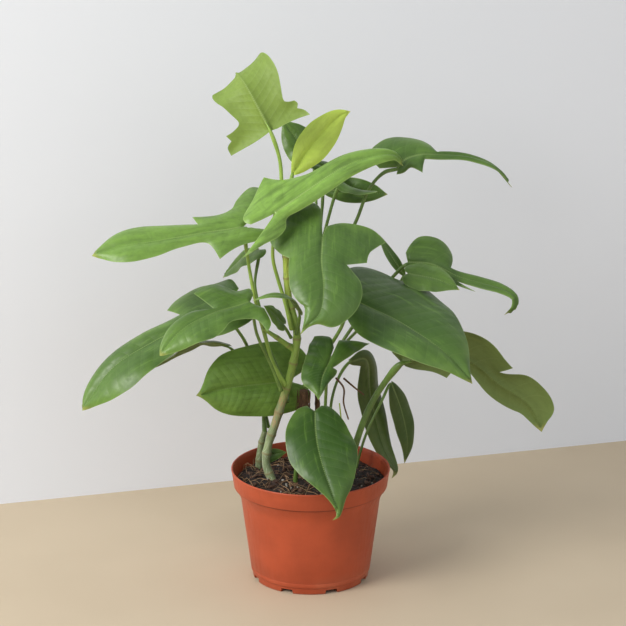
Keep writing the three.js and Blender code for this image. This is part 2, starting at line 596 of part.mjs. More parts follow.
for (const [name, leaf] of Object.entries(LEAVES)) {
  let petiole = toSolid(tubeGeometry(leaf.petiole, leaf.radius));
  for (const grown of grownStems) petiole = petiole.subtract(grown);
  petiole = petiole.subtract(toSolid(bladeGeometry(leaf, BLADE.thickness + 2 * BLADE.gap)));
  petiole = petiole.subtract(toSolid(seatGeometry(leaf)));
  addPart(`${name}_petiole`, toGeometry(largestPiece(petiole)), 'petiole', ROUGHNESS.petiole);
  addPart(`${name}_blade`, bladeGeometry(leaf, BLADE.thickness), leaf.colour, ROUGHNESS.blade);
  if (leaf.petiole[0][2] < SOIL.level) {
    soil = soil.subtract(toSolid(tubeGeometry(leaf.petiole, leaf.radius + SOCKET_GAP)));
  }
}
addPart('soil', toGeometry(largestPiece(soil)), 'soil', ROUGHNESS.soil);

export default group;
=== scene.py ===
"""A philodendron with lobed leaves, growing in its nursery pot, laid out as an add-on.

The pot, the soil, the stems, every leaf stalk and every leaf blade are pieces of their own.
Lengths in the tables below are in millimetres, and leaf outlines in hundredths of the midrib.
"""
import math
import random

import bmesh
import bpy
import numpy as np
from bpy.props import FloatProperty, FloatVectorProperty, IntProperty, PointerProperty
from bpy.types import Operator, Panel, PropertyGroup
from mathutils import Matrix, Quaternion, Vector, noise
from mathutils.geometry import delaunay_2d_cdt


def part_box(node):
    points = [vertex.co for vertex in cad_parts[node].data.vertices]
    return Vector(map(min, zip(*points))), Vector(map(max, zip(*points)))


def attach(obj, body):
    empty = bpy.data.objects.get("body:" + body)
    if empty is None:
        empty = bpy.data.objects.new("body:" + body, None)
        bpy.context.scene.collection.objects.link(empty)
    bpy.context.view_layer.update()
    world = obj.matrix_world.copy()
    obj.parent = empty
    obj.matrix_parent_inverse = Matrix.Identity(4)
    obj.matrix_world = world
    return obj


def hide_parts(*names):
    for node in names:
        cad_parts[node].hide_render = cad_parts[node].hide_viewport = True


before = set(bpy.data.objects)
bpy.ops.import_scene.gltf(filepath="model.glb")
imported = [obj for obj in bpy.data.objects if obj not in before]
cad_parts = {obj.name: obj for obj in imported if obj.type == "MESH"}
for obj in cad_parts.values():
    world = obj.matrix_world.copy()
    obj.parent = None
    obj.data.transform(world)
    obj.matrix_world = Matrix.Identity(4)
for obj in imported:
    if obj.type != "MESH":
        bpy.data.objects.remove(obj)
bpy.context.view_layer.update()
POT_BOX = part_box("pot")
SOIL_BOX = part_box("soil")

bl_info = {
    "name": "Potted Philodendron",
    "version": (1, 0, 0),
    "blender": (4, 5, 0),
    "location": "View3D > Sidebar > Philodendron",
    "description": "Builds a lobed-leaf philodendron in its nursery pot",
    "category": "Object",
}

MM = 0.001
HUNDREDTH = 0.01
MARGIN_STEP = 1.6 * MM
RIB_STEPS = 24
FOLD_FADE = 0.8
CUP_SPAN = 0.8
LEAF_FIT = 16 * MM

# Half outlines of the blades: (along, across) from the notch at the stalk round to the tip.
# A third value marks a sharp corner.
FORMS = {
    "heart": [(-18, 9), (-21, 22), (-12, 34), (8, 38), (34, 36), (60, 27), (80, 15), (93, 5),
        (100, 0)],
    "round_heart": [(-18, 9), (-21, 22), (-10, 35), (14, 40), (40, 38), (64, 33), (80, 23), (90, 10),
        (95, 4), (100, 0)],
    "ovate": [(-7, 5), (-9, 14), (0, 25), (22, 31), (48, 29), (70, 21), (88, 8), (95, 3),
        (100, 0)],
    "lance": [(-3, 2), (8, 10), (30, 18), (55, 18), (78, 12), (93, 4), (100, 0)],
    "sliver": [(-3, 2), (10, 9), (40, 12), (70, 8), (92, 3), (100, 0)],
    "sloping_far": [(-14, 6), (-20, 22), (-12, 38), (8, 45), (34, 46), (54, 38), (76, 22),
        (92, 6), (100, 0)],
    "sloping_near": [(-2, 5), (2, 13), (20, 24), (45, 24), (70, 17), (88, 7), (100, 0)],
    "fiddle_upper": [(-20, 20), (-22, 34), (-14, 39), (-2, 28), (4, 19), (14, 15), (30, 17, 1),
        (28, 9, 1), (45, 12), (66, 15), (82, 12), (94, 5), (100, 0)],
    "fiddle_lower": [(-18, 6), (-18, 13), (-4, 14), (7, 16), (20, 23, 1), (26, 9), (43, 9),
        (60, 13), (74, 15), (86, 12), (95, 5), (100, 0)],
    "tufted_upper": [(-8, 8), (-9, 17), (3, 20), (8, 29), (15, 35), (29, 36), (37, 33, 1),
        (33, 5, 1), (48, 11), (60, 12), (76, 11), (92, 6), (100, 0)],
    "tufted_lower": [(-8, 12), (-5, 30), (2, 37, 1), (3, 26), (8, 19), (26, 16), (40, 22),
        (58, 25), (82, 16), (96, 5), (100, 0)],
    "long_upper": [(-12, 10), (-10, 22), (2, 25), (14, 24), (23, 23), (29, 19, 1), (24, 10, 1),
        (45, 10), (62, 10), (80, 9), (93, 6), (100, 0)],
    "long_lower": [(-12, 8), (-10, 16), (6, 17), (20, 14), (40, 15), (55, 18), (70, 19),
        (84, 14), (95, 5), (100, 0)],
    "horse_left": [(-12, 3), (-17, 16), (-17, 33), (-13, 45), (-5, 54, 1), (9, 41), (23, 38, 1),
        (28, 21, 1), (37, 26), (46, 31), (56, 32), (66, 28), (76, 16), (82, 4), (100, 0)],
    "horse_right": [(-30, 2), (-37, 10), (-28, 30), (-12, 40), (2, 44), (14, 36), (20, 27, 1),
        (34, 28), (50, 28), (60, 24), (70, 18), (80, 12), (90, 3), (100, 0)],
    "spreading_left": [(-1, 8), (-1, 22), (-2, 35), (-4, 46, 1), (3, 43), (8, 37, 1), (12, 40),
        (16, 38, 1), (18, 31), (22, 28), (36, 33), (52, 38), (70, 38), (84, 33), (94, 23),
        (98, 10), (88, 1.4, 1), (100, 0)],
    "spreading_right": [(-1, 8), (-2, 22), (-2, 36), (-2, 50, 1), (6, 49), (10, 42, 1),
        (17, 44, 1), (18, 34), (23, 26), (38, 30), (58, 35), (74, 36), (86, 32), (95, 24),
        (100, 13), (98, 5), (88, 1.4, 1), (100, 0)],
    "fresh_far": [(-17, 3), (-19, 7), (-16, 12), (-4, 19), (5, 25), (12, 30, 1), (18, 20),
        (26, 14), (36, 10), (52, 9), (68, 8), (82, 6), (94, 3), (100, 0)],
    "fresh_near": [(-36, 14, 1), (-20, 13), (-9, 14), (-1, 12), (4, 7), (14, 8), (26, 9),
        (40, 9), (60, 8), (80, 6), (94, 3), (100, 0)],
    "raised_far": [(-10, 10), (-8, 22), (2, 26), (11, 25), (20, 20), (29, 12), (34, 4, 1),
        (60, 6), (75, 6), (90, 3), (100, 0)],
    "raised_near": [(-5, 3), (0, 6), (9, 8), (18, 15, 1), (24, 4, 1), (50, 5), (70, 5), (88, 3),
        (100, 0)],
    "rounded_far": [(-2, 8), (1, 15), (7, 22), (14, 24), (22, 23), (28, 19), (31, 13),
        (32, 5, 1), (50, 7), (70, 8), (86, 5), (100, 0)],
    "tailed_near": [(-5, 3), (8, 5), (22, 6), (34, 7), (55, 9, 1), (40, 4, 1), (55, 5), (70, 6),
        (86, 4), (100, 0)],
    "front_left": [(-5, 6), (-3, 14), (12, 26), (34, 32), (55, 29), (72, 20), (85, 9), (93, 3),
        (100, 0)],
    "front_right": [(-5, 6), (-2, 14), (8, 21), (22, 25), (41, 25), (54, 20), (70, 10), (83, 3),
        (100, 0)],
    "middle_left": [(-98, 3), (-137, 83, 1), (-104, 66), (-63, 45), (-9, 16, 1), (-6, 28),
        (6, 30), (30, 24), (56, 15), (85, 5), (100, 0)],
    "middle_right": [(-70, 2), (-96, 18), (-97, 38), (-88, 62, 1), (-60, 66), (-30, 63),
        (10, 60), (45, 54), (62, 44), (72, 28), (84, 12), (100, 0)],
    "eared_near": [(-30, 4), (-70, 8), (-96, 16), (-80, 26), (-40, 30), (0, 30), (35, 28),
        (70, 20), (92, 6), (100, 0)],
    "draped_lower": [(2, 3), (8, 6), (18, 9), (26, 12, 1), (34, 4, 1), (48, 7), (62, 9), (76, 9),
        (88, 6), (95, 3), (100, 0)],
    "draped_upper": [(-4, 6), (0, 12), (16, 17), (40, 17), (52, 15), (60, 14, 1), (56, 6, 1),
        (70, 13), (80, 13), (88, 11), (94, 5), (100, 0)],
}

# Leaves: the routes of midrib and stalk in millimetres, which way the upper side faces, how the
# blade is twisted, folded and cupped, its two half outlines with their widths, and its finish.
LEAVES = {
    "crown": dict(
        rib=[(-40, 6, 474), (-54, 15, 499), (-66, 26, 518), (-75, 48, 524), (-74, 64, 512)],
        stalk=[(-29, 0, 384), (-29, 4, 410), (-31, 5, 445), (-40, 6, 474)],
        faces=(-0.1, 1, 0.2), twist=0, fold=(14, 14), cup=8, ear=0,
        left=("spreading_left", 0.92), right=("spreading_right", 0.98), radius=2.2,
        finish="soft_blade", tone=0.75,
    ),
    "young": dict(
        rib=[(-17, 28, 426), (-4, 40, 443), (14, 58, 461), (31, 72, 475), (41, 77, 478)],
        stalk=[(-23, 4, 384), (-22, 14, 402), (-20, 22, 416), (-17, 28, 426)],
        faces=(0.3, -1, 0.3), twist=0, fold=(14, 14), cup=10, ear=0,
        left=("lance", 1), right=("lance", 1), radius=2.2, finish="young_blade", tone=0.5,
    ),
    "fresh": dict(
        rib=[(-35, -32, 399), (-10, -20, 414), (40, 2, 441), (83, 22, 445), (94, 26, 433)],
        stalk=[(-19, -5, 269), (-27, -5, 302), (-33, -4, 322), (-38, -7, 345), (-37, -13, 372),
            (-36, -22, 390), (-35, -32, 399)],
        faces=(-0.2, -0.7, 0.7), twist=0, fold=(0, -15), cup=20, ear=20,
        left=("fresh_far", 1), right=("fresh_near", 1), radius=2.1, finish="fresh_blade", tone=0.55,
    ),
    "back": dict(
        rib=[(30, 38, 416), (15, 46, 426), (-9, 55, 431)],
        stalk=[(2, 10, 272), (4, 18, 315), (13, 30, 356), (23, 38, 393), (30, 38, 416)],
        faces=(0, -0.2, 1), twist=0, fold=(0, 0), cup=20, ear=30,
        left=("eared_near", 1), right=("ovate", 1), radius=2, finish="blade", tone=0.15,
    ),
    "back_low": dict(
        rib=[(14, 52, 400), (32, 50, 402), (56, 46, 401), (79, 42, 399)],
        stalk=[(6, 22, 272), (8, 34, 315), (10, 46, 354), (12, 51, 383), (14, 52, 400)],
        faces=(0, -1, 0.3), twist=0, fold=(0, 0), cup=15, ear=0,
        left=("lance", 1.05), right=("lance", 1.05), radius=1.8, finish="blade", tone=0.1,
    ),
    "rear": dict(
        rib=[(2, 88, 424), (-12, 100, 440), (-30, 110, 462)],
        stalk=[(4, 30, 320), (6, 60, 370), (2, 88, 424)],
        faces=(-0.3, -0.6, 0.7), twist=0, fold=(6, 6), cup=15, ear=0,
        left=("ovate", 1.1), right=("ovate", 1.1), radius=1.9, finish="blade", tone=0.2,
    ),
    "centre": dict(
        rib=[(12, -34, 374), (11, -58, 356), (13, -82, 335), (9, -96, 314), (-4, -101, 302),
            (-10, -96, 292)],
        stalk=[(-4, -4, 292), (2, -5, 320), (10, -20, 355), (12, -34, 374)],
        faces=(0, -0.75, 0.65), twist=0, fold=(0, 0), cup=15, ear=0,
        left=("horse_left", 1), right=("horse_right", 1), radius=2.2, finish="blade", tone=0.2,
    ),
    "upper_left": dict(
        rib=[(-68, -5, 377), (-101, -12, 374), (-151, -22, 368), (-196, -28, 362),
            (-219, -30, 354)],
        stalk=[(-26, -4, 208), (-38, -4, 232), (-47, -4, 264), (-55, -4, 295), (-61, -4, 327),
            (-65, -6, 355), (-68, -5, 377)],
        faces=(0, -0.5, 0.85), twist=0, fold=(0, 0), cup=15, ear=0,
        left=("fiddle_lower", 1), right=("fiddle_upper", 1), radius=2.2, finish="blade", tone=0.6,
    ),
    "small_back": dict(
        rib=[(-54, 32, 343), (-66, 36, 337), (-78, 42, 324), (-91, 50, 308)],
        stalk=[(-26, 4, 205), (-35, 8, 226), (-43, 12, 244), (-51, 16, 281), (-57, 22, 309),
            (-54, 32, 343)],
        faces=(-0.5, -0.4, 0.8), twist=0, fold=(10, 10), cup=10, ear=0,
        left=("heart", 0.9), right=("lance", 0.8), radius=1.8, finish="blade", tone=0.35,
    ),
    "mid_left": dict(
        rib=[(-61, -38, 308), (-100, -60, 302), (-129, -78, 290), (-149, -92, 269)],
        stalk=[(-30, -8, 204), (-40, -14, 233), (-54, -26, 270), (-61, -38, 308)],
        faces=(-0.1, -0.5, 0.85), twist=0, fold=(0, 0), cup=10, ear=0,
        left=("tufted_lower", 1), right=("tufted_upper", 1), radius=1.9, finish="blade", tone=0.28,
    ),
    "low_left": dict(
        rib=[(-87, 0, 290), (-151, -15, 264), (-201, -30, 235), (-232, -38, 193)],
        stalk=[(-48, 30, 146), (-50, 40, 172), (-55, 40, 197), (-66, 37, 238), (-80, 9, 272),
            (-87, 0, 290)],
        faces=(-0.3, -0.5, 0.8), twist=0, fold=(0, 0), cup=15, ear=0,
        left=("long_lower", 1), right=("long_upper", 1), radius=2.1, finish="blade", tone=0.15,
    ),
    "heart_left": dict(
        rib=[(-23, 30, 202), (-50, 20, 202), (-82, 2, 204), (-117, -20, 203)],
        stalk=[(-24, 6, 188), (-24, 22, 193), (-23, 30, 202)],
        faces=(-0.1, -1, 0.25), twist=0, fold=(4, 4), cup=20, ear=0,
        left=("round_heart", 0.8), right=("round_heart", 1), radius=2, finish="blade", tone=0.72,
    ),
    "sliver_left": dict(
        rib=[(-84, 24, 242), (-114, 26, 245), (-140, 28, 230), (-164, 28, 216)],
        stalk=[(-44, 38, 148), (-54, 47, 188), (-72, 42, 220), (-84, 24, 242)],
        faces=(0, 0.4, 1), twist=0, fold=(0, 0), cup=10, ear=0,
        left=("sliver", 1.9), right=("sliver", 1.9), radius=1.6, finish="old_blade", tone=0.6,
    ),
    "hooked": dict(
        rib=[(-10, -20, 290), (-14, -28, 301), (-23, -38, 314), (-42, -46, 317), (-58, -50, 313)],
        stalk=[(-14, -8, 265), (-12, -14, 279), (-10, -20, 290)],
        faces=(0.2, -0.2, 1), twist=0, fold=(0, 0), cup=10, ear=0,
        left=("lance", 0.7), right=("lance", 0.7), radius=1.8, finish="blade", tone=0.35,
    ),
    "olive": dict(
        rib=[(-27, -25, 281), (-39, -35, 297), (-47, -40, 305)],
        stalk=[(-20, -10, 262), (-24, -18, 272), (-27, -25, 281)],
        faces=(0.6, -0.5, 0.6), twist=0, fold=(0, 0), cup=10, ear=0,
        left=("ovate", 1), right=("ovate", 1), radius=1.5, finish="blade", tone=0.3,
    ),
    "upper_right": dict(
        rib=[(89, 33, 430), (97, 38, 437), (112, 44, 440), (132, 46, 439), (163, 46, 436),
            (188, 45, 426), (206, 44, 406)],
        stalk=[(4, 8, 286), (25, 14, 336), (46, 20, 376), (60, 25, 410), (75, 31, 425),
            (89, 33, 430)],
        faces=(-0.2, -0.3, 1), twist=-40, fold=(30, -50), cup=10, ear=0,
        left=("raised_far", 1), right=("raised_near", 1), radius=2.1, finish="blade", tone=0.15,
    ),
    "big_right": dict(
        rib=[(42, -22, 306), (90, -48, 290), (134, -72, 266), (161, -84, 237)],
        stalk=[(-6, 4, 205), (14, 4, 239), (31, -6, 271), (42, -22, 306)],
        faces=(0.2, -0.5, 0.8), twist=0, fold=(0, 0), cup=20, ear=0,
        left=("sloping_far", 1), right=("sloping_near", 1), radius=2.2, finish="blade", tone=0.1,
    ),
    "right_behind": dict(
        rib=[(100, 16, 322), (130, 12, 317), (152, 8, 307)],
        stalk=[(6, 22, 212), (38, 42, 242), (76, 48, 280), (98, 36, 311), (100, 16, 322)],
        faces=(0, -0.6, 0.8), twist=0, fold=(0, 0), cup=15, ear=0,
        left=("ovate", 1), right=("ovate", 1), radius=1.8, finish="blade", tone=0.3,
    ),
    "right": dict(
        rib=[(100, 38, 328), (123, 36, 327), (151, 34, 314), (174, 30, 308), (195, 26, 303),
            (209, 22, 294), (208, 18, 286), (199, 16, 278)],
        stalk=[(10, 16, 205), (36, 26, 251), (60, 38, 281), (82, 42, 308), (100, 38, 328)],
        faces=(-0.2, -0.4, 0.9), twist=-30, fold=(30, -40), cup=15, ear=0,
        left=("rounded_far", 0.93), right=("tailed_near", 1), radius=2, finish="blade", tone=0.2,
    ),
    "narrow_right": dict(
        rib=[(97, 58, 309), (82, 64, 330), (70, 72, 349)],
        stalk=[(50, 60, 254), (80, 60, 284), (97, 58, 309)],
        faces=(0.5, -0.8, 0.2), twist=0, fold=(0, 0), cup=10, ear=0,
        left=("sliver", 1), right=("sliver", 1), radius=1.6, finish="blade", tone=0.25,
    ),
    "front": dict(
        rib=[(4, -28, 189), (6, -52, 168), (12, -76, 148), (22, -95, 122), (27, -101, 104),
            (22, -103, 99)],
        stalk=[(-16, -8, 98), (-15, -12, 118), (-9, -20, 155), (4, -28, 189)],
        faces=(0.1, -0.75, 0.65), twist=0, fold=(0, 0), cup=15, ear=0,
        left=("front_left", 1), right=("front_right", 1), radius=2.4, finish="blade", tone=0.0,
    ),
    "middle": dict(
        rib=[(16, -30, 236), (12, -40, 229), (8, -58, 211)],
        stalk=[(12, -5, 98), (15, -10, 184), (16, -20, 214), (16, -30, 236)],
        faces=(0.1, -0.7, 0.7), twist=0, fold=(0, 0), cup=10, ear=0,
        left=("middle_left", 1), right=("middle_right", 1), radius=2, finish="blade", tone=0.0,
    ),
    "hanging": dict(
        rib=[(43, 44, 219), (58, 56, 217), (64, 70, 169), (78, 68, 114), (90, 60, 91),
            (86, 56, 84)],
        stalk=[(20, 28, 98), (22, 32, 180), (32, 40, 208), (43, 44, 219)],
        faces=(0.5, -0.85, 0.1), twist=25, fold=(-10, -10), cup=10, ear=0,
        left=("lance", 0.52), right=("lance", 0.52), radius=1.8, finish="old_blade", tone=0.5,
    ),
    "hanging_thin": dict(
        rib=[(85, 60, 189), (96, 68, 157), (103, 72, 118), (100, 70, 96)],
        stalk=[(46, 34, 98), (58, 40, 139), (75, 50, 174), (85, 60, 189)],
        faces=(0.5, -0.8, 0.2), twist=0, fold=(-10, -10), cup=10, ear=0,
        left=("lance", 0.7), right=("lance", 0.7), radius=1.6, finish="old_blade", tone=0.1,
    ),
    "low_right": dict(
        rib=[(93, 8, 230), (133, 4, 236), (164, 0, 233), (194, -6, 210), (225, -10, 189),
            (238, -10, 160)],
        stalk=[(42, 2, 97), (44, 5, 128), (58, 12, 172), (73, 14, 200), (93, 12, 229)],
        faces=(-0.2, 0.95, 0.3), twist=0, fold=(0, 0), cup=15, ear=0,
        left=("draped_lower", 1.2), right=("draped_upper", 1.2), radius=3.9, finish="old_blade", tone=0.85,
    ),
    "low_scrap": dict(
        rib=[(-52, 44, 110), (-40, 45, 115), (-25, 45, 118)],
        stalk=[(-56, 42, 98), (-55, 43, 105), (-52, 44, 110)],
        faces=(0, -1, 0.3), twist=0, fold=(0, 0), cup=0, ear=0,
        left=("ovate", 0.8), right=("ovate", 0.8), radius=1.5, finish="blade", tone=0.1,
    ),
}

# Stems: route, thickness at half, heights of the rings left by fallen leaves, finish.
STEMS = {
    "main_stem": dict(
        route=[(-38, -4, 100), (-46, 0, 121), (-44, 1, 141), (-36, 1, 167), (-27, 0, 197),
            (-19, -1, 226), (-14, -1, 256), (-15, 0, 272), (-22, 1, 299), (-24, 1, 322),
            (-25, 1, 344), (-26, 2, 386)],
        radius=4.2, rings=(112, 133, 154, 178, 205, 232, 258, 290, 322, 345, 366, 382),
        finish="stem",
    ),
    "main_stem_stub": dict(
        route=[(-17, -1, 246), (-32, -9, 260), (-48, -15, 273)],
        radius=2.6, rings=(252, 262), finish="stem",
    ),
    "second_stem": dict(
        route=[(-55, 35, 100), (-52, 33, 130), (-48, 30, 147)],
        radius=3.7, rings=(113, 134), finish="stem",
    ),
    "old_stem": dict(
        route=[(-6, 9, 98), (-7, 9, 140), (-7, 8, 199)],
        radius=6.2, rings=(118, 140, 161, 180), finish="bark",
    ),
    "back_stem": dict(
        route=[(6, 30, 98), (6, 30, 137), (7, 20, 184), (4, 8, 214)],
        radius=2.9, rings=(120, 150, 180), finish="bark",
    ),
}

ROOTS = {
    "root_straight": dict(
        route=[(26, -5, 217), (34, -5, 206), (34, -5, 190), (39, -5, 172)], radius=1.0,
    ),
    "root_curved": dict(
        route=[(34, 0, 215), (44, 0, 206), (55, 0, 197)], radius=1.0,
    ),
}

# A young shoot beside the old stem, too thin to carry a leaf yet.
SHOOTS = {
    "thin_shoot": dict(route=[(34, 20, 130), (33, 20, 150), (30, 20, 181)], radius=0.9),
}

# Leaves whose stalks are yellower than the rest.
STALK_KINDS = {"crown": "bright", "fresh": "bright", "young": "bright", "upper_left": "bright"}

# Profile of the pot in millimetres: (radius, height), up the outside and down the inside.
POT_OUTSIDE = [
    (0, 0), (58.6, 0), (60.0, 0.3), (60.5, 1.2), (60.6, 6.2), (61.0, 7.0), (61.8, 7.3),
    (62.2, 8.0), (62.4, 9.5), (62.65, 11.8), (62.5, 12.3), (62.85, 12.8), (67.0, 45.0),
    (70.0, 67.5), (72.1, 84.0), (72.8, 87.4), (74.0, 90.6), (75.6, 94.2), (76.9, 97.0),
    (77.3, 98.2), (77.5, 98.8), (79.3, 99.0), (79.7, 99.8), (80.9, 108.0), (82.0, 115.2),
    (82.35, 116.2), (82.5, 117.0), (82.3, 117.7), (81.7, 118.0), (81.1, 117.8), (80.7, 117.2),
]
POT_INSIDE = [
    (79.9, 112.0), (78.8, 105.0), (78.0, 100.9), (76.2, 99.2), (75.2, 96.6), (72.6, 91.0),
    (70.6, 86.6), (65.4, 47.0), (61.0, 12.0), (60.4, 8.6), (58.8, 6.0), (57.6, 3.2),
    (56.0, 2.4), (0, 2.4),
]
POT_RIM = 82.5
POT_HEIGHT = 118
NOTCHES = 8
FIRST_NOTCH = 21 - 90
SOIL_DEPTH = 13 * MM
SOIL_TAPER = 9 * MM


def hex_colour(text):
    """A colour written as six hexadecimal digits, as linear red, green, blue and alpha."""
    shares = [int(text[start:start + 2], 16) / 255 for start in (0, 2, 4)]
    linear = [s / 12.92 if s <= 0.04045 else ((s + 0.055) / 1.055) ** 2.4 for s in shares]
    return (*linear, 1.0)


def colour_property(name, description, text):
    """A colour setting whose default is written in hexadecimal."""
    return FloatVectorProperty(
        name=name, description=description, subtype="COLOR", size=4, min=0, max=1,
        default=hex_colour(text),
    )


class PhilodendronSizes(PropertyGroup):
    blade_spacing: FloatProperty(
        name="Blade Mesh Spacing", description="Distance between points across a blade",
        default=2.1 * MM, min=1 * MM, max=10 * MM, unit="LENGTH",
    )
    blade_thickness: FloatProperty(
        name="Blade Thickness", description="Thickness of a blade away from its midrib",
        default=0.7 * MM, min=0.2 * MM, max=2 * MM, unit="LENGTH",
    )
    midrib_depth: FloatProperty(
        name="Midrib Depth", description="How far the midrib stands out under a blade",
        default=1.5 * MM, min=0, max=4 * MM, unit="LENGTH",
    )
    vein_spacing: FloatProperty(
        name="Vein Spacing", description="Distance between side veins, as a share of the midrib",
        default=0.085, min=0.02, max=0.5,
    )
    wave_height: FloatProperty(
        name="Margin Wave", description="Height of the waves along a blade's margin",
        default=2.0 * MM, min=0, max=8 * MM, unit="LENGTH",
    )
    half_bulge: FloatProperty(
        name="Half Bulge", description="How far each half of a blade swells above its midrib",
        default=2.2 * MM, min=0, max=8 * MM, unit="LENGTH",
    )
    pot_sides: IntProperty(
        name="Pot Sides", description="Number of steps round the pot", default=160, min=24, max=512,
    )
    bark_chips: IntProperty(
        name="Bark Chips", description="Number of bark chips on the soil", default=380, min=0,
        max=1000,
    )
    perlite_grains: IntProperty(
        name="Perlite Grains", description="Number of white grains on the soil", default=34, min=0,
        max=400,
    )
    soil_fibres: IntProperty(
        name="Soil Fibres", description="Number of loose fibres on the soil", default=130, min=0,
        max=400,
    )
    stem_strands: IntProperty(
        name="Stem Strands", description="Number of fibrous strands round the old stem",
        default=120, min=0, max=400,
    )


class PhilodendronColours(PropertyGroup):
    pot: colour_property("Pot", "Plastic of the pot", "b24e2e")
    soil: colour_property("Soil", "Wet peat", "2a1d17")
    chip: colour_property("Bark Chip", "Bark chips in the soil", "5d3d2a")
    perlite: colour_property("Perlite", "White grains in the soil", "d9d3c6")
    fibre: colour_property("Fibre", "Dry fibres and papery sheaths", "b3906a")
    deep_leaf: colour_property("Deep Leaf", "Upper face of an old leaf", "3c5b25")
    pale_leaf: colour_property("Pale Leaf", "Upper face of a soft leaf", "86ad4c")
    young_leaf: colour_property("Young Leaf", "Upper face of the unfolding leaf", "c6e05c")
    under_leaf: colour_property("Underside", "Lower face of a leaf", "72894f")
    vein: colour_property("Vein", "Midrib and side veins", "a3bb74")
    stalk: colour_property("Stalk", "Leaf stalks", "6f9040")
    stem: colour_property("Stem", "Green stem", "96a878")
    bark: colour_property("Bark", "Old stem", "75573c")


def sizes():
    return bpy.context.scene.philodendron_sizes


def colours():
    return bpy.context.scene.philodendron_colours


# Routes and tubes


class Route:
    """A smooth route through points, measured by its own length."""

    def __init__(self, points, steps=24):
        points = [Vector(point) for point in points]
        ends = [2 * points[0] - points[1], *points, 2 * points[-1] - points[-2]]
        self.places = []
        for before, start, end, after in zip(ends, ends[1:], ends[2:], ends[3:]):
            for step in range(steps):
                self.places.append(even_curve(before, start, end, after, step / steps))
        self.places.append(points[-1])
        self.marks = [0.0]
        for here, there in zip(self.places, self.places[1:]):
            self.marks.append(self.marks[-1] + (there - here).length)
        self.length = self.marks[-1]

    def at(self, share):
        mark = min(max(share, 0), 1) * self.length
        low, high = 0, len(self.marks) - 1
        while high - low > 1:
            middle = (low + high) // 2
            low, high = (middle, high) if self.marks[middle] <= mark else (low, middle)
        span = self.marks[high] - self.marks[low]
        part = (mark - self.marks[low]) / span if span else 0
        return self.places[low].lerp(self.places[high], part)

    def direction(self, share):
        step = 0.004
        return (self.at(share + step) - self.at(share - step)).normalized()


def even_curve(before, start, end, after, part):
    """A point of the curve from start to end that keeps its speed even and makes no loops."""
    gap = max((end - start).length ** 0.5, 1e-6)
    gap_before = max((start - before).length ** 0.5, 1e-6)
    gap_after = max((after - end).length ** 0.5, 1e-6)
    leave = ((start - before) / gap_before - (end - before) / (gap_before + gap)) * gap
    leave += end - start
    arrive = ((after - end) / gap_after - (after - start) / (gap + gap_after)) * gap
    arrive += end - start
    square, cube = part * part, part ** 3
    return (
        start * (2 * cube - 3 * square + 1) + leave * (cube - 2 * square + part)
        + end * (3 * square - 2 * cube) + arrive * (cube - square)
    )


def smooth(low, high, value):
    """Rises gently from 0 at low to 1 at high."""
    part = min(max((value - low) / (high - low), 0), 1)
    return part * part * (3 - 2 * part)


def travelling_frames(route, count, face=None):
    """Direction, side and face at even steps along a route, turning no more than it must."""
    forward = route.direction(0)
    face = Vector(face) if face else forward.orthogonal()
    frames = []
    before = None
    for step in range(count + 1):
        forward = route.direction(step / count)
        if before:
            face.rotate(before.rotation_difference(forward))
        face = (face - forward * face.dot(forward)).normalized()
        before = forward
        frames.append((forward, face.cross(forward), face.copy()))
    return frames


class Cloth:
    """Collects the points and faces of one piece, and the values that its finish reads."""

    def __init__(self):
        self.points = []
        self.faces = []
        self.finishes = []
        self.values = {}

    def add(self, points, faces, finish=0, **values):
        start = len(self.points)
        self.points.extend(points)
        self.faces.extend([start + corner for corner in face] for face in faces)
        self.finishes.extend([finish] * len(faces))
        for name, several in values.items():
            self.values.setdefault(name, []).extend(several)
        return start

    def piece(self, name, finishes, slot, replaced=(), sharp=()):
        mesh = bpy.data.meshes.new(name)
        mesh.from_pydata(self.points, [], self.faces)
        mesh.polygons.foreach_set("material_index", self.finishes)
        mesh.polygons.foreach_set("use_smooth", [True] * len(self.faces))
        for value_name, several in self.values.items():
            store = mesh.attributes.new(value_name, "FLOAT_VECTOR", "POINT")
            store.data.foreach_set("vector", np.array(several, dtype=np.float32).ravel())
        if sharp:
            edges = {tuple(sorted(pair)) for pair in sharp}
            marks = [tuple(sorted(edge.vertices)) in edges for edge in mesh.edges]
            mesh.attributes.new("sharp_edge", "BOOLEAN", "EDGE").data.foreach_set("value", marks)
        mesh.update()
        return finished_piece(name, mesh, finishes, replaced)


def finished_piece(name, mesh, finishes, replaced=()):
    """Puts a mesh into the scene as a named piece with its finishes."""
    piece = bpy.data.objects.new(name, mesh)
    bpy.context.scene.collection.objects.link(piece)
    for finish in finishes:
        mesh.materials.append(finish)
    if replaced:
        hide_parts(*replaced)
        stays_near(piece, replaced)
    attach(piece, "root")
    return piece


def stays_near(piece, nodes):
    """Raises an error if a piece lies away from the solids that it stands for."""
    corners = [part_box(node) for node in nodes]
    low = [min(corner[0][axis] for corner in corners) for axis in range(3)]
    high = [max(corner[1][axis] for corner in corners) for axis in range(3)]
    places = [piece.matrix_world @ Vector(corner) for corner in piece.bound_box]
    for axis in range(3):
        start = min(place[axis] for place in places)
        end = max(place[axis] for place in places)
        if abs(start - low[axis]) > LEAF_FIT or abs(end - high[axis]) > LEAF_FIT:
            raise RuntimeError(f"{piece.name} lies away from {nodes} on axis {axis}")


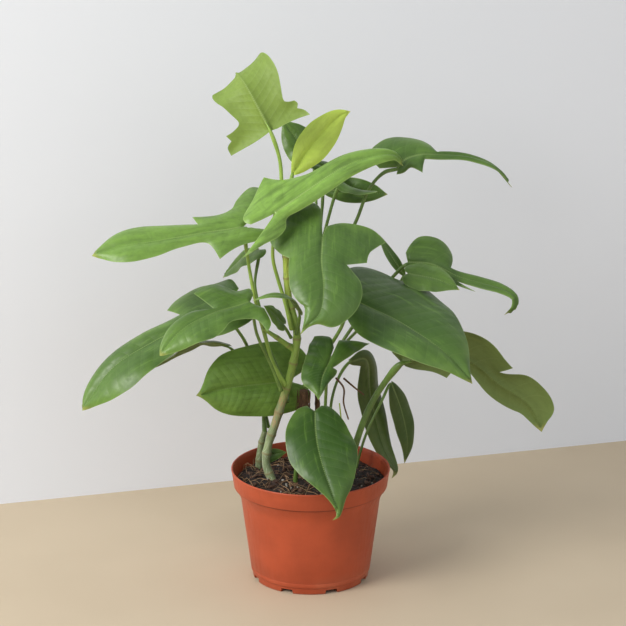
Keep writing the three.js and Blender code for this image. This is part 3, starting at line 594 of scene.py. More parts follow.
def add_tube(cloth, points, radius_at, sides=12, spacing=2.5 * MM, seed=0.0, groove=0.0, finish=0):
    """Adds a closed round stalk along a route. radius_at gives its radius at a share of it."""
    route = Route(points)
    count = max(4, round(route.length / spacing))
    frames = travelling_frames(route, count)
    places, where = [], []
    for step, (_, side, face) in enumerate(frames):
        share = step / count
        radius = radius_at(share)
        for corner in range(sides):
            turn = math.tau * corner / sides
            reach = radius * (1 - groove * math.exp(-((turn - math.pi / 2) / 0.5) ** 2))
            places.append(
                route.at(share) + side * math.cos(turn) * reach + face * math.sin(turn) * reach
            )
            where.append((share * route.length, turn * radius, seed))
    faces = []
    for step in range(count):
        for corner in range(sides):
            after = (corner + 1) % sides
            here, above = step * sides, (step + 1) * sides
            faces.append((here + corner, here + after, above + after, above + corner))
    for ring, reach, flip in ((0, -0.5, True), (count * sides, 0.5, False)):
        step = 0 if flip else count
        centre = len(places)
        radius = radius_at(step / count)
        places.append(route.at(step / count) + frames[step][0] * reach * radius)
        where.append((step / count * route.length, 0, seed))
        for corner in range(sides):
            pair = (ring + corner, ring + (corner + 1) % sides)
            faces.append((*(pair[::-1] if flip else pair), centre))
    cloth.add(places, faces, finish, place=where)


# Finishes


class Finish:
    """Builds one procedural finish out of shader nodes."""

    def __init__(self, name, roughness=0.5, **fixed):
        self.material = bpy.data.materials.new(name)
        self.material.use_nodes = True
        self.tree = self.material.node_tree
        self.shader = self.tree.nodes["Principled BSDF"]
        self.shader.inputs["Roughness"].default_value = roughness
        for socket, value in fixed.items():
            self.shader.inputs[socket.replace("_", " ").title()].default_value = value

    def join(self, value, socket):
        if isinstance(value, bpy.types.NodeSocket):
            self.tree.links.new(value, socket)
        else:
            socket.default_value = value

    def node(self, kind, *values, **settings):
        made = self.tree.nodes.new(kind)
        named = {}
        for key, value in settings.items():
            if hasattr(made, key) and not key[0].isupper():
                setattr(made, key, value)
            else:
                named[key.replace("_", " ")] = value
        for index, value in enumerate(values):
            if value is not None:
                self.join(value, made.inputs[index])
        for key, value in named.items():
            self.join(value, made.inputs[key])
        return made.outputs[0]

    def math(self, operation, *values):
        return self.node("ShaderNodeMath", *values, operation=operation)

    def parts(self, attribute):
        """The three numbers of a value that the mesh carries."""
        read = self.tree.nodes.new("ShaderNodeAttribute")
        read.attribute_name = attribute
        split = self.tree.nodes.new("ShaderNodeSeparateXYZ")
        self.tree.links.new(read.outputs["Vector"], split.inputs[0])
        return read.outputs["Vector"], *split.outputs

    def place(self, *scale):
        """Position on the object, stretched by scale."""
        spot = self.tree.nodes.new("ShaderNodeTexCoord").outputs["Object"]
        return self.node("ShaderNodeMapping", spot, Scale=scale or (1, 1, 1))

    def noise(self, vector, scale, detail=4.0, roughness=0.55):
        return self.node(
            "ShaderNodeTexNoise", None, None, Vector=vector, Scale=scale, Detail=detail,
            Roughness=roughness,
        )

    def range(self, value, low, high, start=0.0, end=1.0, kind="SMOOTHSTEP"):
        return self.node(
            "ShaderNodeMapRange", value, low, high, start, end, interpolation_type=kind,
        )

    def mix(self, share, first, second, blend="MIX"):
        made = self.tree.nodes.new("ShaderNodeMix")
        made.data_type = "RGBA"
        made.blend_type = blend
        self.join(share, made.inputs["Factor"])
        self.join(first, made.inputs[6])
        self.join(second, made.inputs[7])
        return made.outputs[2]

    def bump(self, height, distance, strength=1.0, normal=None):
        made = self.tree.nodes.new("ShaderNodeBump")
        made.inputs["Strength"].default_value = strength
        made.inputs["Distance"].default_value = distance
        self.join(height, made.inputs["Height"])
        if normal:
            self.join(normal, made.inputs["Normal"])
        return made.outputs[0]

    def close(self, colour, roughness=None, normal=None):
        self.join(colour, self.shader.inputs["Base Color"])
        if roughness:
            self.join(roughness, self.shader.inputs["Roughness"])
        if normal:
            self.join(normal, self.shader.inputs["Normal"])
        return self.material


def shade(colour, factor):
    return (*(min(part * factor, 1) for part in colour[:3]), 1.0)


def tint(first, second, share):
    return tuple(a + (b - a) * share for a, b in zip(first, second))


def vein_masks(finish):
    """Masks of side veins, midrib and margin, and how puffed the blade is between veins."""
    _, phase, rate, rib = finish.parts("veins")
    _, edge, tone, share = finish.parts("edges")
    part = finish.math("FRACT", finish.math("ADD", phase, 0.5))
    off = finish.math("ABSOLUTE", finish.math("SUBTRACT", part, 0.5))
    distance = finish.math("DIVIDE", off, rate)
    line = finish.range(distance, 0.15, 0.9, 1.0, 0.0)
    reach = finish.math("MULTIPLY", finish.range(edge, 1.5, 9), finish.range(rib, 60, 8, 0.35, 1))
    veins = finish.math("MULTIPLY", line, reach)
    half = finish.range(share, 0.0, 1.0, 1.0, 0.3, kind="LINEAR")
    midrib = finish.range(finish.math("DIVIDE", rib, half), 0.5, 1.25, 1.0, 0.0)
    midrib = finish.math("MULTIPLY", midrib, finish.range(share, -0.01, 0.02))
    margin = finish.range(edge, 0.1, 1.0, 1.0, 0.0)
    puff = finish.math("ABSOLUTE", finish.math("SINE", finish.math("MULTIPLY", phase, math.pi)))
    return veins, midrib, margin, finish.math("MULTIPLY", puff, reach), tone, edge, share


def blade_finish(name, deep, pale, vein, roughness, vein_share, streaks_and_sheen, under=False):
    """A leathery blade: colour from old to soft, mottling, light and dark streaks that are partly painted
    sheen, veins, midrib, a thin margin, and painted shade in the valleys along the side veins.
    """
    finish = Finish(name, roughness, coat_weight=0.0 if under else 0.06)
    finish.shader.inputs["Coat Roughness"].default_value = 0.28
    finish.shader.inputs["Specular IOR Level"].default_value = 0.36
    veins, midrib, margin, puff, tone, edge, share = vein_masks(finish)
    place = finish.parts("place")[0]
    broad = finish.noise(place, 26.0, 3.0)
    fine = finish.noise(place, 240.0, 5.0, 0.62)
    shift = finish.math("MULTIPLY_ADD", broad, 0.34, finish.math("ADD", tone, -0.17))
    colour = finish.mix(finish.range(shift, 0, 1, kind="LINEAR"), deep, pale)
    colour = finish.mix(finish.range(fine, 0.4, 0.75, 0, 0.26), colour, shade(deep, 0.8))
    _, along, across, seed = finish.parts("place")
    stretched = finish.node(
        "ShaderNodeCombineXYZ", finish.math("MULTIPLY", along, 0.13), across, seed,
    )
    streak = finish.noise(stretched, 210.0, 4.0, 0.6)
    # Light and dark streaks along the blade: partly real streaking and partly painted sheen, strongest on the
    # fresh blade.
    colour = finish.mix(finish.range(streak, 0.45, 0.68, 0, streaks_and_sheen), colour, shade(deep, 0.75))
    colour = finish.mix(finish.range(streak, 0.44, 0.3, 0, streaks_and_sheen * 0.6), colour, shade(pale, 1.2))
    rim_glow = finish.math("MULTIPLY", finish.range(edge, 16, 0), finish.range(broad, 0.4, 0.7))
    colour = finish.mix(finish.math("MULTIPLY", rim_glow, 0.3), colour, shade(pale, 0.95))
    # Painted shade: the blade is darkened a little in the valleys along the side veins.
    painted_valley_shade = finish.range(puff, 0.0, 0.7, 0.06, 0.0)
    colour = finish.mix(painted_valley_shade, colour, shade(deep, 0.75))
    colour = finish.mix(finish.math("MULTIPLY", veins, vein_share), colour, vein)
    colour = finish.mix(finish.math("MULTIPLY", midrib, 0.42), colour, vein)
    colour = finish.mix(finish.math("MULTIPLY", margin, 0.3), colour, shade(vein, 1.1))
    colour = finish.mix(finish.range(share, 0.5, 1.0, 0, 0.22), colour, pale)
    tip = finish.math("MULTIPLY", finish.range(share, 0.93, 1.0), finish.range(edge, 4, 1))
    colour = finish.mix(finish.math("MULTIPLY", tip, 0.5), colour, hex_colour("b0a659"))
    pores = finish.noise(place, 1500.0, 2.0)
    sign = -1.0 if under else 1.0
    normal = finish.bump(puff, 0.2 * MM * sign, 0.4)
    normal = finish.bump(veins, -0.1 * MM * sign, 0.4, normal)
    normal = finish.bump(streak, 1.2 * MM * streaks_and_sheen, 0.5, normal)
    normal = finish.bump(fine, 0.22 * MM, 0.55, normal)
    normal = finish.bump(pores, 0.05 * MM, 0.35, normal)
    rough = finish.range(fine, 0.25, 0.8, roughness - 0.07, roughness + 0.12)
    return finish.close(colour, rough, normal)


def stalk_finish(name, pale, dark, roughness=0.45):
    """Smooth green stalk with fine streaks along it and a few pale flecks."""
    finish = Finish(name, roughness, coat_weight=0.1)
    _, along, around, seed = finish.parts("place")
    stretched = finish.node(
        "ShaderNodeCombineXYZ", finish.math("MULTIPLY", along, 0.12), around, seed,
    )
    streak = finish.noise(stretched, 900.0, 4.0)
    broad = finish.noise(finish.place(), 34.0, 3.0)
    colour = finish.mix(finish.range(broad, 0.3, 0.7), dark, pale)
    colour = finish.mix(finish.range(streak, 0.42, 0.72, 0, 0.45), colour, shade(pale, 1.25))
    flecks = finish.noise(finish.place(), 620.0, 2.0)
    colour = finish.mix(finish.range(flecks, 0.66, 0.74, 0, 0.55), colour, hex_colour("b7b98a"))
    normal = finish.bump(streak, 0.2 * MM, 0.6)
    return finish.close(colour, finish.range(streak, 0.3, 0.7, 0.38, 0.58), normal)


def stem_finish():
    """Grey-green stem whose lower part is brown, papery and striped; the pale streaks low down are partly
    real striping and partly painted highlight.
    """
    finish = Finish("stem_skin", 0.55)
    _, along, around, seed = finish.parts("place")
    _, height, ring, _ = finish.parts("growth")
    stretched = finish.node(
        "ShaderNodeCombineXYZ", finish.math("MULTIPLY", along, 0.1), around, seed,
    )
    streak = finish.noise(stretched, 1000.0, 5.0, 0.6)
    broad = finish.noise(finish.place(), 48.0, 4.0)
    green = tuple(colours().stem)
    colour = finish.mix(finish.range(broad, 0.35, 0.65), shade(green, 0.72), green)
    fresh = finish.math("ADD", height, finish.math("MULTIPLY", broad, 0.05))
    colour = finish.mix(finish.range(fresh, 0.205, 0.235), colour, hex_colour("8fae4f"))
    colour = finish.mix(finish.range(fresh, 0.31, 0.36), colour, hex_colour("b5cb58"))
    band = finish.math("MULTIPLY", finish.range(height, 0.14, 0.17), finish.range(height, 0.215, 0.2))
    peeled = finish.math("ADD", finish.math("MULTIPLY", band, 0.16), broad)
    paper = finish.math("MULTIPLY", finish.range(peeled, 0.6, 0.7), finish.range(streak, 0.46, 0.54))
    colour = finish.mix(finish.math("MULTIPLY", paper, 0.85), colour, tuple(colours().fibre))
    dark = finish.range(streak, 0.46, 0.34, 0, 0.6)
    colour = finish.mix(dark, colour, shade(green, 0.42))
    # Pale streaks on the lower stem: partly real pale striping and partly painted highlight.
    low = finish.range(height, 0.18, 0.12)
    light = finish.math("MULTIPLY", finish.range(streak, 0.5, 0.62, 0, 0.75), low)
    colour = finish.mix(light, colour, hex_colour("cdd6b8"))
    colour = finish.mix(finish.math("MULTIPLY", ring, 0.75), colour, hex_colour("8b7a52"))
    normal = finish.bump(streak, 0.5 * MM, 0.7)
    normal = finish.bump(broad, 0.5 * MM, 0.4, normal)
    return finish.close(colour, finish.range(streak, 0.3, 0.7, 0.42, 0.72), normal)


def bark_finish(name, tone, scale=1.0):
    """Dry, ridged, fibrous brown skin."""
    finish = Finish(name, 0.85)
    _, along, around, seed = finish.parts("place")
    stretched = finish.node(
        "ShaderNodeCombineXYZ", finish.math("MULTIPLY", along, 0.15), around, seed,
    )
    ridge = finish.noise(stretched, 800.0 * scale, 6.0, 0.65)
    broad = finish.noise(finish.place(), 90.0, 4.0)
    colour = finish.mix(finish.range(ridge, 0.35, 0.65), shade(tone, 0.32), tone)
    colour = finish.mix(finish.range(broad, 0.45, 0.7, 0, 0.6), colour, shade(tone, 1.7))
    normal = finish.bump(ridge, 0.9 * MM, 0.9)
    return finish.close(colour, finish.range(ridge, 0.3, 0.7, 0.95, 0.72), normal)


def crumb_finish(name, tone, light, roughness=0.9, scale=300.0):
    """Crumbly matter: peat, bark chips or perlite."""
    finish = Finish(name, roughness)
    grain = finish.noise(finish.place(), scale, 8.0, 0.7)
    patch = finish.noise(finish.place(), scale * 0.13, 4.0)
    colour = finish.mix(finish.range(grain, 0.4, 0.68), shade(tone, 0.45), tone)
    colour = finish.mix(finish.range(patch, 0.5, 0.72, 0, 0.55), colour, light)
    normal = finish.bump(grain, 1.0 * MM, 0.9)
    return finish.close(colour, finish.range(grain, 0.35, 0.7, roughness, roughness - 0.3), normal)


def pot_finish():
    """Satin moulded plastic: slight mottling, fine scuffs, dust near the foot, and a painted shade line in
    the crease under the rim band.
    """
    finish = Finish("pot_plastic", 0.46)
    finish.shader.inputs["Specular IOR Level"].default_value = 0.4
    tone = tuple(colours().pot)
    cloud = finish.noise(finish.place(), 22.0, 5.0)
    grain = finish.noise(finish.place(), 900.0, 3.0)
    scuffs = finish.noise(finish.place(260, 260, 18), 1.0, 6.0, 0.7)
    _, _, height, _ = finish.parts("place")
    colour = finish.mix(finish.range(cloud, 0.3, 0.7), shade(tone, 0.88), shade(tone, 1.1))
    colour = finish.mix(finish.range(scuffs, 0.62, 0.78, 0, 0.22), colour, hex_colour("cf7a52"))
    dust = finish.math("MULTIPLY", finish.range(height, 0.024, 0.0), finish.range(cloud, 0.4, 0.7))
    colour = finish.mix(finish.math("MULTIPLY", dust, 0.3), colour, hex_colour("b98a6c"))
    stain = finish.range(height, 0.105, 0.114, 0.0, 1.0)
    marks = finish.math("MULTIPLY", stain, finish.range(scuffs, 0.55, 0.7, 0, 0.3))
    colour = finish.mix(marks, colour, hex_colour("8a4128"))
    # Painted shade: a dark line in the crease under the rim band, standing in for the shade under the band's
    # overhang.
    above = finish.range(height, 0.0972, 0.098)
    below = finish.range(height, 0.0997, 0.0991)
    painted_crease_shade = finish.math("MULTIPLY", above, below)
    colour = finish.mix(painted_crease_shade, colour, shade(tone, 0.42))
    normal = finish.bump(grain, 0.06 * MM, 0.5)
    normal = finish.bump(scuffs, 0.05 * MM, 0.5, normal)
    return finish.close(colour, finish.range(scuffs, 0.35, 0.75, 0.4, 0.58), normal)


# Blades


class Sheet:
    """The curved sheet that a blade's outline lies on."""

    def __init__(self, leaf):
        self.leaf = leaf
        self.route = Route([Vector(point) * MM for point in leaf["rib"]])
        self.length = self.route.length
        self.frames = []
        twist = math.radians(leaf["twist"])
        steps = travelling_frames(self.route, RIB_STEPS, leaf["faces"])
        for step, (forward, _, face) in enumerate(steps):
            turned = Quaternion(forward, twist * step / RIB_STEPS) @ face
            self.frames.append((forward, turned.cross(forward), turned))

    def between(self, share, index):
        mark = share * RIB_STEPS
        low = min(int(mark), RIB_STEPS - 1)
        return self.frames[low][index].lerp(self.frames[low + 1][index], mark - low).normalized()

    def at(self, along, across):
        """Point and outward face of the sheet, along and across being shares of the midrib."""
        share = min(max(along, 0), 1)
        forward, _, rise = self.frames[0]
        left, face = self.between(share, 1), self.between(share, 2)
        behind = min(along, 0) * self.length
        fold = math.radians(self.leaf["fold"][0 if across > 0 else 1]) * (1 - FOLD_FADE * share)
        angle = fold - math.radians(self.leaf["cup"]) * abs(across) / CUP_SPAN
        reach = abs(across) * self.length
        side = math.copysign(1, across)
        point = self.route.at(share) + forward * behind
        point += rise * behind * behind / self.length * math.tan(math.radians(self.leaf["ear"]))
        point += left * side * reach * math.cos(angle) + face * reach * math.sin(angle)
        return point, (face * math.cos(angle) - left * side * math.sin(angle)).normalized()


def even_steps(start, end):
    """Points from start up to, but not with, end."""
    count = max(1, round((end - start).length / MARGIN_STEP))
    return [start.lerp(end, step / count) for step in range(count)]


def half_margin(half, side, length):
    """The margin of one half of a blade, from its notch to its tip."""
    form, width = half
    corners = [
        (Vector((along, side * across * width)) * HUNDREDTH * length, bool(mark))
        for along, across, *mark in FORMS[form]
    ]
    runs = [[]]
    for point, sharp in corners:
        runs[-1].append(point)
        if sharp and len(runs[-1]) > 1:
            runs.append([point])
    points = even_steps(Vector((0, 0)), corners[0][0])
    for run in runs:
        ends = [run[0], *run, run[-1]]
        for before, start, end, after in zip(ends, ends[1:], ends[2:], ends[3:]):
            count = max(1, round((end - start).length / MARGIN_STEP))
            for step in range(count):
                part = step / count
                leave, arrive = (end - before) / 2, (after - start) / 2
                square, cube = part * part, part ** 3
                points.append(
                    start * (2 * cube - 3 * square + 1) + leave * (cube - 2 * square + part)
                    + end * (3 * square - 2 * cube) + arrive * (cube - square)
                )
    return points


def margin_distance(points, outline):
    """Distance of every point to the outline, and whether the point is inside it."""
    start = outline
    end = np.roll(outline, -1, axis=0)
    span = end - start
    lengths = np.maximum((span ** 2).sum(axis=1), 1e-14)
    gap = points[:, None, :] - start[None, :, :]
    part = np.clip((gap * span).sum(axis=2) / lengths, 0, 1)
    nearest = np.sqrt(((gap - part[..., None] * span) ** 2).sum(axis=2)).min(axis=1)
    above = (start[:, 1] > points[:, 1:]) != (end[:, 1] > points[:, 1:])
    rise = np.where(np.abs(span[:, 1]) < 1e-12, 1e-12, span[:, 1])
    cross = (points[:, 1:] - start[:, 1]) * span[:, 0] / rise + start[:, 0]
    inside = (above & (points[:, :1] < cross)).sum(axis=1) % 2 == 1
    return nearest, inside


def flat_blade(leaf, length):
    """Points, triangles and margin distances of a blade laid flat, in metres."""
    spacing = sizes().blade_spacing
    left = half_margin(leaf["left"], 1, length)
    right = half_margin(leaf["right"], -1, length)
    outline = [*left, Vector((length, 0)), *right[:0:-1]]
    border = np.array([tuple(point) for point in outline])
    rows = [0.0, 1.0 * MM, 2.2 * MM]
    while rows[-1] < length * 1.1:
        rows.append(rows[-1] + spacing)
    inner = []
    for index, row in enumerate(rows):
        shift = spacing / 2 * (index % 2)
        for side in (1, -1) if row else (1,):
            step = -1.45 * length + shift
            while step < length:
                inner.append((step, row * side))
                step += spacing
    inner = np.array(inner)
    near, inside = margin_distance(inner, border)
    inner = inner[inside & (near > spacing * 0.55)]
    spots = [Vector(spot) * 1000 for spot in (*map(tuple, border), *map(tuple, inner))]
    count = len(border)
    edges = [(index, (index + 1) % count) for index in range(count)]
    points, _, faces, *_ = delaunay_2d_cdt(spots, edges, [], 1, 1e-5)
    flat = np.array([tuple(point) for point in points]) / 1000
    return flat, faces, margin_distance(flat, border)[0]


def vein_phase(along, across, spacing):
    """Which side vein a place lies on, whole numbers being veins, and how fast that changes."""
    lean, first = 0.5, math.atan2(1, 0.5)
    offset = along - lean * abs(across) - 0.35 * across * across
    if offset >= 0 or along >= 0:
        return offset / spacing, math.hypot(1, lean) / spacing
    angle = math.atan2(abs(across), along)
    radius = max(math.hypot(along, across), 0.02)
    fan = -(angle - first) / 0.34
    blend = smooth(0, 0.12, -along)
    phase = offset / spacing * (1 - blend) + fan * blend
    return phase, math.hypot(1, lean) / spacing * (1 - blend) + blend / (0.34 * radius)


def swelling(edge, rib):
    """How far each half of a blade swells between its midrib and its margin."""
    return 4 * edge * rib / max((edge + rib) ** 2, 1e-12)


def build_leaf(name, leaf, index, finishes):
    """The blade of one leaf, with its midrib."""
    sheet = Sheet(leaf)
    flat, faces, edge = flat_blade(leaf, sheet.length)
    settings = sizes()
    seed = index * 7.31
    swell = Vector((seed, 1.7, 0.4))
    width = max(np.abs(flat[:, 1]).max(), 1 * MM)
    middle, values = [], {"veins": [], "edges": [], "place": []}
    for (x, y), near in zip(flat, edge):
        along, across = x / sheet.length, y / sheet.length
        point, face = sheet.at(along, across)
        outer = min(abs(y) / width, 1)
        wave = math.sin(along * 17 + seed + (0 if y > 0 else 1.9)) * outer ** 1.6
        wave *= smooth(0, 8 * MM, near) * 0.35 + 0.65
        drift = noise.noise(Vector((x * 34, y * 34, 0)) + swell)
        lift = settings.wave_height * min(width / (26 * MM), 1) * (wave + drift * (outer + 0.3))
        lift += settings.half_bulge * min(width / (30 * MM), 1.2) * swelling(near, abs(y))
        middle.append(point + face * lift)
        phase, rate = vein_phase(along, across, settings.vein_spacing)
        values["veins"].append((phase, rate / sheet.length * MM, abs(y) / MM))
        values["edges"].append((near / MM, leaf["tone"], along))
        values["place"].append((x, y, seed))
    shape = bpy.data.meshes.new("shape")
    shape.from_pydata(middle, [], faces)
    shape.update()
    faces_up = [vertex.normal.copy() for vertex in shape.vertices]
    bpy.data.meshes.remove(shape)
    top, bottom = [], []
    for (x, y), near, point, up in zip(flat, edge, middle, faces_up):
        share = min(max(x / sheet.length, 0), 1)
        half = settings.blade_thickness / 2 * (0.45 + 0.55 * smooth(0, 4 * MM, near))
        rib = math.exp(-(y / ((1.5 - share) * MM)) ** 2) * smooth(-1 * MM, 2 * MM, x)
        rib *= smooth(0, 3 * MM, near)
        phase = values["veins"][len(top)][0]
        puff = abs(math.sin(phase * math.pi)) * 0.26 * MM * smooth(2 * MM, 9 * MM, near)
        puff *= smooth(1 * MM, 6 * MM, abs(y))
        top.append(point + up * (half - rib * 0.45 * MM + puff))
        depth = rib * settings.midrib_depth * (1.1 - share)
        bottom.append(point - up * (half + depth - puff * 0.7))
    blade = Cloth()
    count = len(top)
    blade.add(top, faces, 0, **values)
    blade.add(bottom, [face[::-1] for face in faces], 1, **values)
    uses = {}
    for face in faces:
        for here, there in zip(face, [*face[1:], face[0]]):
            uses[(here, there)] = True
    rim = [pair for pair in uses if pair[::-1] not in uses]
    blade.faces.extend((there, here, here + count, there + count) for here, there in rim)
    blade.finishes.extend([0] * len(rim))
    sharp = rim + [(here + count, there + count) for here, there in rim]
    upper, lower = finishes
    slot = {"blade": "blade", "soft_blade": "blade", "fresh_blade": "freshBlade", "young_blade": "youngBlade",
        "old_blade": "oldBlade"}[leaf["finish"]]
    blade.piece(f"{name}_leaf", [upper, lower], slot, [f"{name}_blade"], sharp)


def build_stalk(name, leaf, index, finish):
    """The stalk of a leaf, wide at its foot and running out under the midrib."""
    sheet = Sheet(leaf)
    radius = leaf["radius"] * MM
    points = [Vector(point) * MM for point in leaf["stalk"][:-1]]
    for reach, drop in ((0, 0.85), (5 * MM, 0.6), (11 * MM, 0.45)):
        share = min(reach / sheet.length, 0.4)
        point = sheet.route.at(share) - sheet.between(share, 2) * radius * drop
        points.append(point)
    length = Route(points).length
    fading = 16 * MM / length

    def radius_at(share):
        foot = 1 + 0.35 * smooth(0.16, 0, share)
        swelling = 1 + 0.22 * math.exp(-((1 - fading * 1.4 - share) / (fading * 0.6)) ** 2)
        end = 1 - 0.72 * smooth(1 - fading, 1, share)
        return radius * foot * swelling * end * (0.92 - 0.1 * smooth(0.2, 0.8, share))

    stalk = Cloth()
    add_tube(stalk, points, radius_at, 14, 2.2 * MM, index * 3.7, 0.16)
    stalk.piece(f"{name}_stalk", [finish], "petiole", [f"{name}_petiole"])


def leaf_finishes():
    """Upper and lower finishes of each kind of blade, and the two kinds of stalk."""
    paints = colours()
    deep, pale, vein = tuple(paints.deep_leaf), tuple(paints.pale_leaf), tuple(paints.vein)
    under, young = tuple(paints.under_leaf), tuple(paints.young_leaf)
    olive = tint(deep, hex_colour("7c8440"), 0.45)
    kinds = {
        "blade": (deep, pale, vein, shade(under, 0.72)),
        "soft_blade": (tint(deep, pale, 0.5), pale, vein, hex_colour("7b9440")),
        "fresh_blade": (tint(deep, pale, 0.4), shade(pale, 1.12), shade(vein, 1.2), under),
        "young_blade": (shade(young, 0.85), shade(young, 1.1), shade(young, 1.2), young),
        "old_blade": (shade(deep, 0.85), olive, shade(vein, 0.85), tint(under, olive, 0.5)),
    }
    finishes = {}
    for kind, (dark, light, line, back) in kinds.items():
        # The fresh blade's stronger light and dark streaks are partly painted sheen.
        streaks_and_sheen = 0.7 if kind == "fresh_blade" else 0.3
        finishes[kind] = (
            blade_finish(f"{kind}_upper", dark, light, line, 0.36, 0.04, streaks_and_sheen),
            blade_finish(
                f"{kind}_under", shade(back, 0.8), shade(back, 1.1), shade(line, 0.9), 0.55, 0.14,
                streaks_and_sheen * 0.7, under=True,
            ),
        )
    stalk = tuple(paints.stalk)
    return finishes, {
        "green": stalk_finish("stalk_green", stalk, shade(stalk, 0.55)),
        "bright": stalk_finish("stalk_bright", hex_colour("9dbb55"), hex_colour("7a9c3c")),
        "dark": stalk_finish("stalk_dark", hex_colour("55702f"), hex_colour("2f4a22")),
    }


# Operators


class PHILODENDRON_OT_pot(Operator):
    """Build the nursery pot with its band, foot and drainage notches"""

    bl_idname = "philodendron.pot"
    bl_label = "Build Pot"

    def execute(self, context):
        low, high = POT_BOX
        rim, top = (high[0] - low[0]) / 2, high[2]
        scale = rim / (POT_RIM * MM)
        if abs(top - POT_HEIGHT * MM) > MM:
            raise RuntimeError("the pot's height has changed")
        points = POT_OUTSIDE + POT_INSIDE
        profile = [(radius * MM * scale, height * MM) for radius, height in points]
        sides = context.scene.philodendron_sizes.pot_sides
        cloth = Cloth()
        places, rings = [], []
        for radius, height in profile:
            rings.append(len(places))
            for corner in range(sides if radius else 1):
                turn = math.tau * corner / sides
                places.append(Vector((radius * math.cos(turn), radius * math.sin(turn), height)))
        faces = []
        for first, second in zip(rings, rings[1:]):
            for corner in range(sides):
                after = (corner + 1) % sides
                if first == rings[0]:
                    faces.append((first, second + after, second + corner))
                elif second == rings[-1]:
                    faces.append((first + corner, first + after, second))
                else:
                    faces.append(
                        (first + corner, first + after, second + after, second + corner)
                    )
        cloth.add(places, faces)
        pot = cloth.piece("plastic_pot", [pot_finish()], "pot", ["pot"])
        self.cut_notches(pot)
        self.note_heights(pot.data)
        return {"FINISHED"}

    def cut_notches(self, pot):
        """Cuts the drainage notches out of the corner of the foot."""
        cutter = bmesh.new()
        for index in range(NOTCHES):
            turn = math.radians(FIRST_NOTCH + index * 360 / NOTCHES)
            made = bmesh.ops.create_cube(cutter, size=1)["verts"]
            for vertex in made:
                vertex.co.x = vertex.co.x * 14 * MM + 58 * MM
                vertex.co.y *= 15 * MM
                vertex.co.z *= 9 * MM
                if vertex.co.z > 0:
                    vertex.co.y *= 0.82
                vertex.co.rotate(Matrix.Rotation(turn, 3, "Z"))
        mesh = bpy.data.meshes.new("notches")
        cutter.to_mesh(mesh)
        cutter.free()
        tool = bpy.data.objects.new("notches", mesh)
        bpy.context.scene.collection.objects.link(tool)
        cut = pot.modifiers.new("notches", "BOOLEAN")
        cut.operation = "DIFFERENCE"
        cut.solver = "EXACT"
        cut.object = tool
        result = bpy.data.meshes.new_from_object(
            pot.evaluated_get(bpy.context.evaluated_depsgraph_get())
        )
        pot.modifiers.clear()
        pot.data = result
        bpy.data.objects.remove(tool)
        cleaned = bmesh.new()
        cleaned.from_mesh(result)
        for edge in cleaned.edges:
            edge.smooth = len(edge.link_faces) != 2 or edge.calc_face_angle() < 0.9
        cleaned.to_mesh(result)
        cleaned.free()

    def note_heights(self, mesh):
        if "place" not in mesh.attributes:
            mesh.attributes.new("place", "FLOAT_VECTOR", "POINT")
        heights = [(vertex.co.x, vertex.co.z, 0) for vertex in mesh.vertices]
        flat = np.array(heights, dtype=np.float32).ravel()
        mesh.attributes["place"].data.foreach_set("vector", flat)


def soil_height(x, y):
    """Height of the soil's surface at a place, in metres."""
    level = SOIL_BOX[1][2] - 2.2 * MM
    across, back = x / MM, y / MM
    relief = math.sin(across / 9 + 1) * math.cos(back / 11) + math.sin(across / 5 + back / 4)
    return level + relief * 1.1 * MM


def soil_spot(chance):
    """A place on the soil, away from its edge."""
    turn = chance.uniform(0, math.tau)
    radius = (SOIL_BOX[1][0] - 3 * MM) * math.sqrt(chance.random())
    return radius * math.cos(turn), radius * math.sin(turn)


def add_lump(cloth, centre, size, turn, chance, rough=0.28, finish=0):
    """Adds an irregular lump, such as a chip of bark or a grain of perlite."""
    ball = bmesh.new()
    bmesh.ops.create_icosphere(ball, subdivisions=2, radius=1)
    shift = Vector((chance.uniform(0, 90), chance.uniform(0, 90), chance.uniform(0, 90)))
    places = []
    for vertex in ball.verts:
        knock = 1 + rough * 2 * noise.noise(vertex.co * 1.3 + shift)
        knock += rough * noise.noise(vertex.co * 3.1 + shift)
        spot = Vector(part * length * knock for part, length in zip(vertex.co, size))
        places.append(centre + turn @ spot)
    faces = [[vertex.index for vertex in face.verts] for face in ball.faces]
    ball.free()
    cloth.add(places, faces, finish)


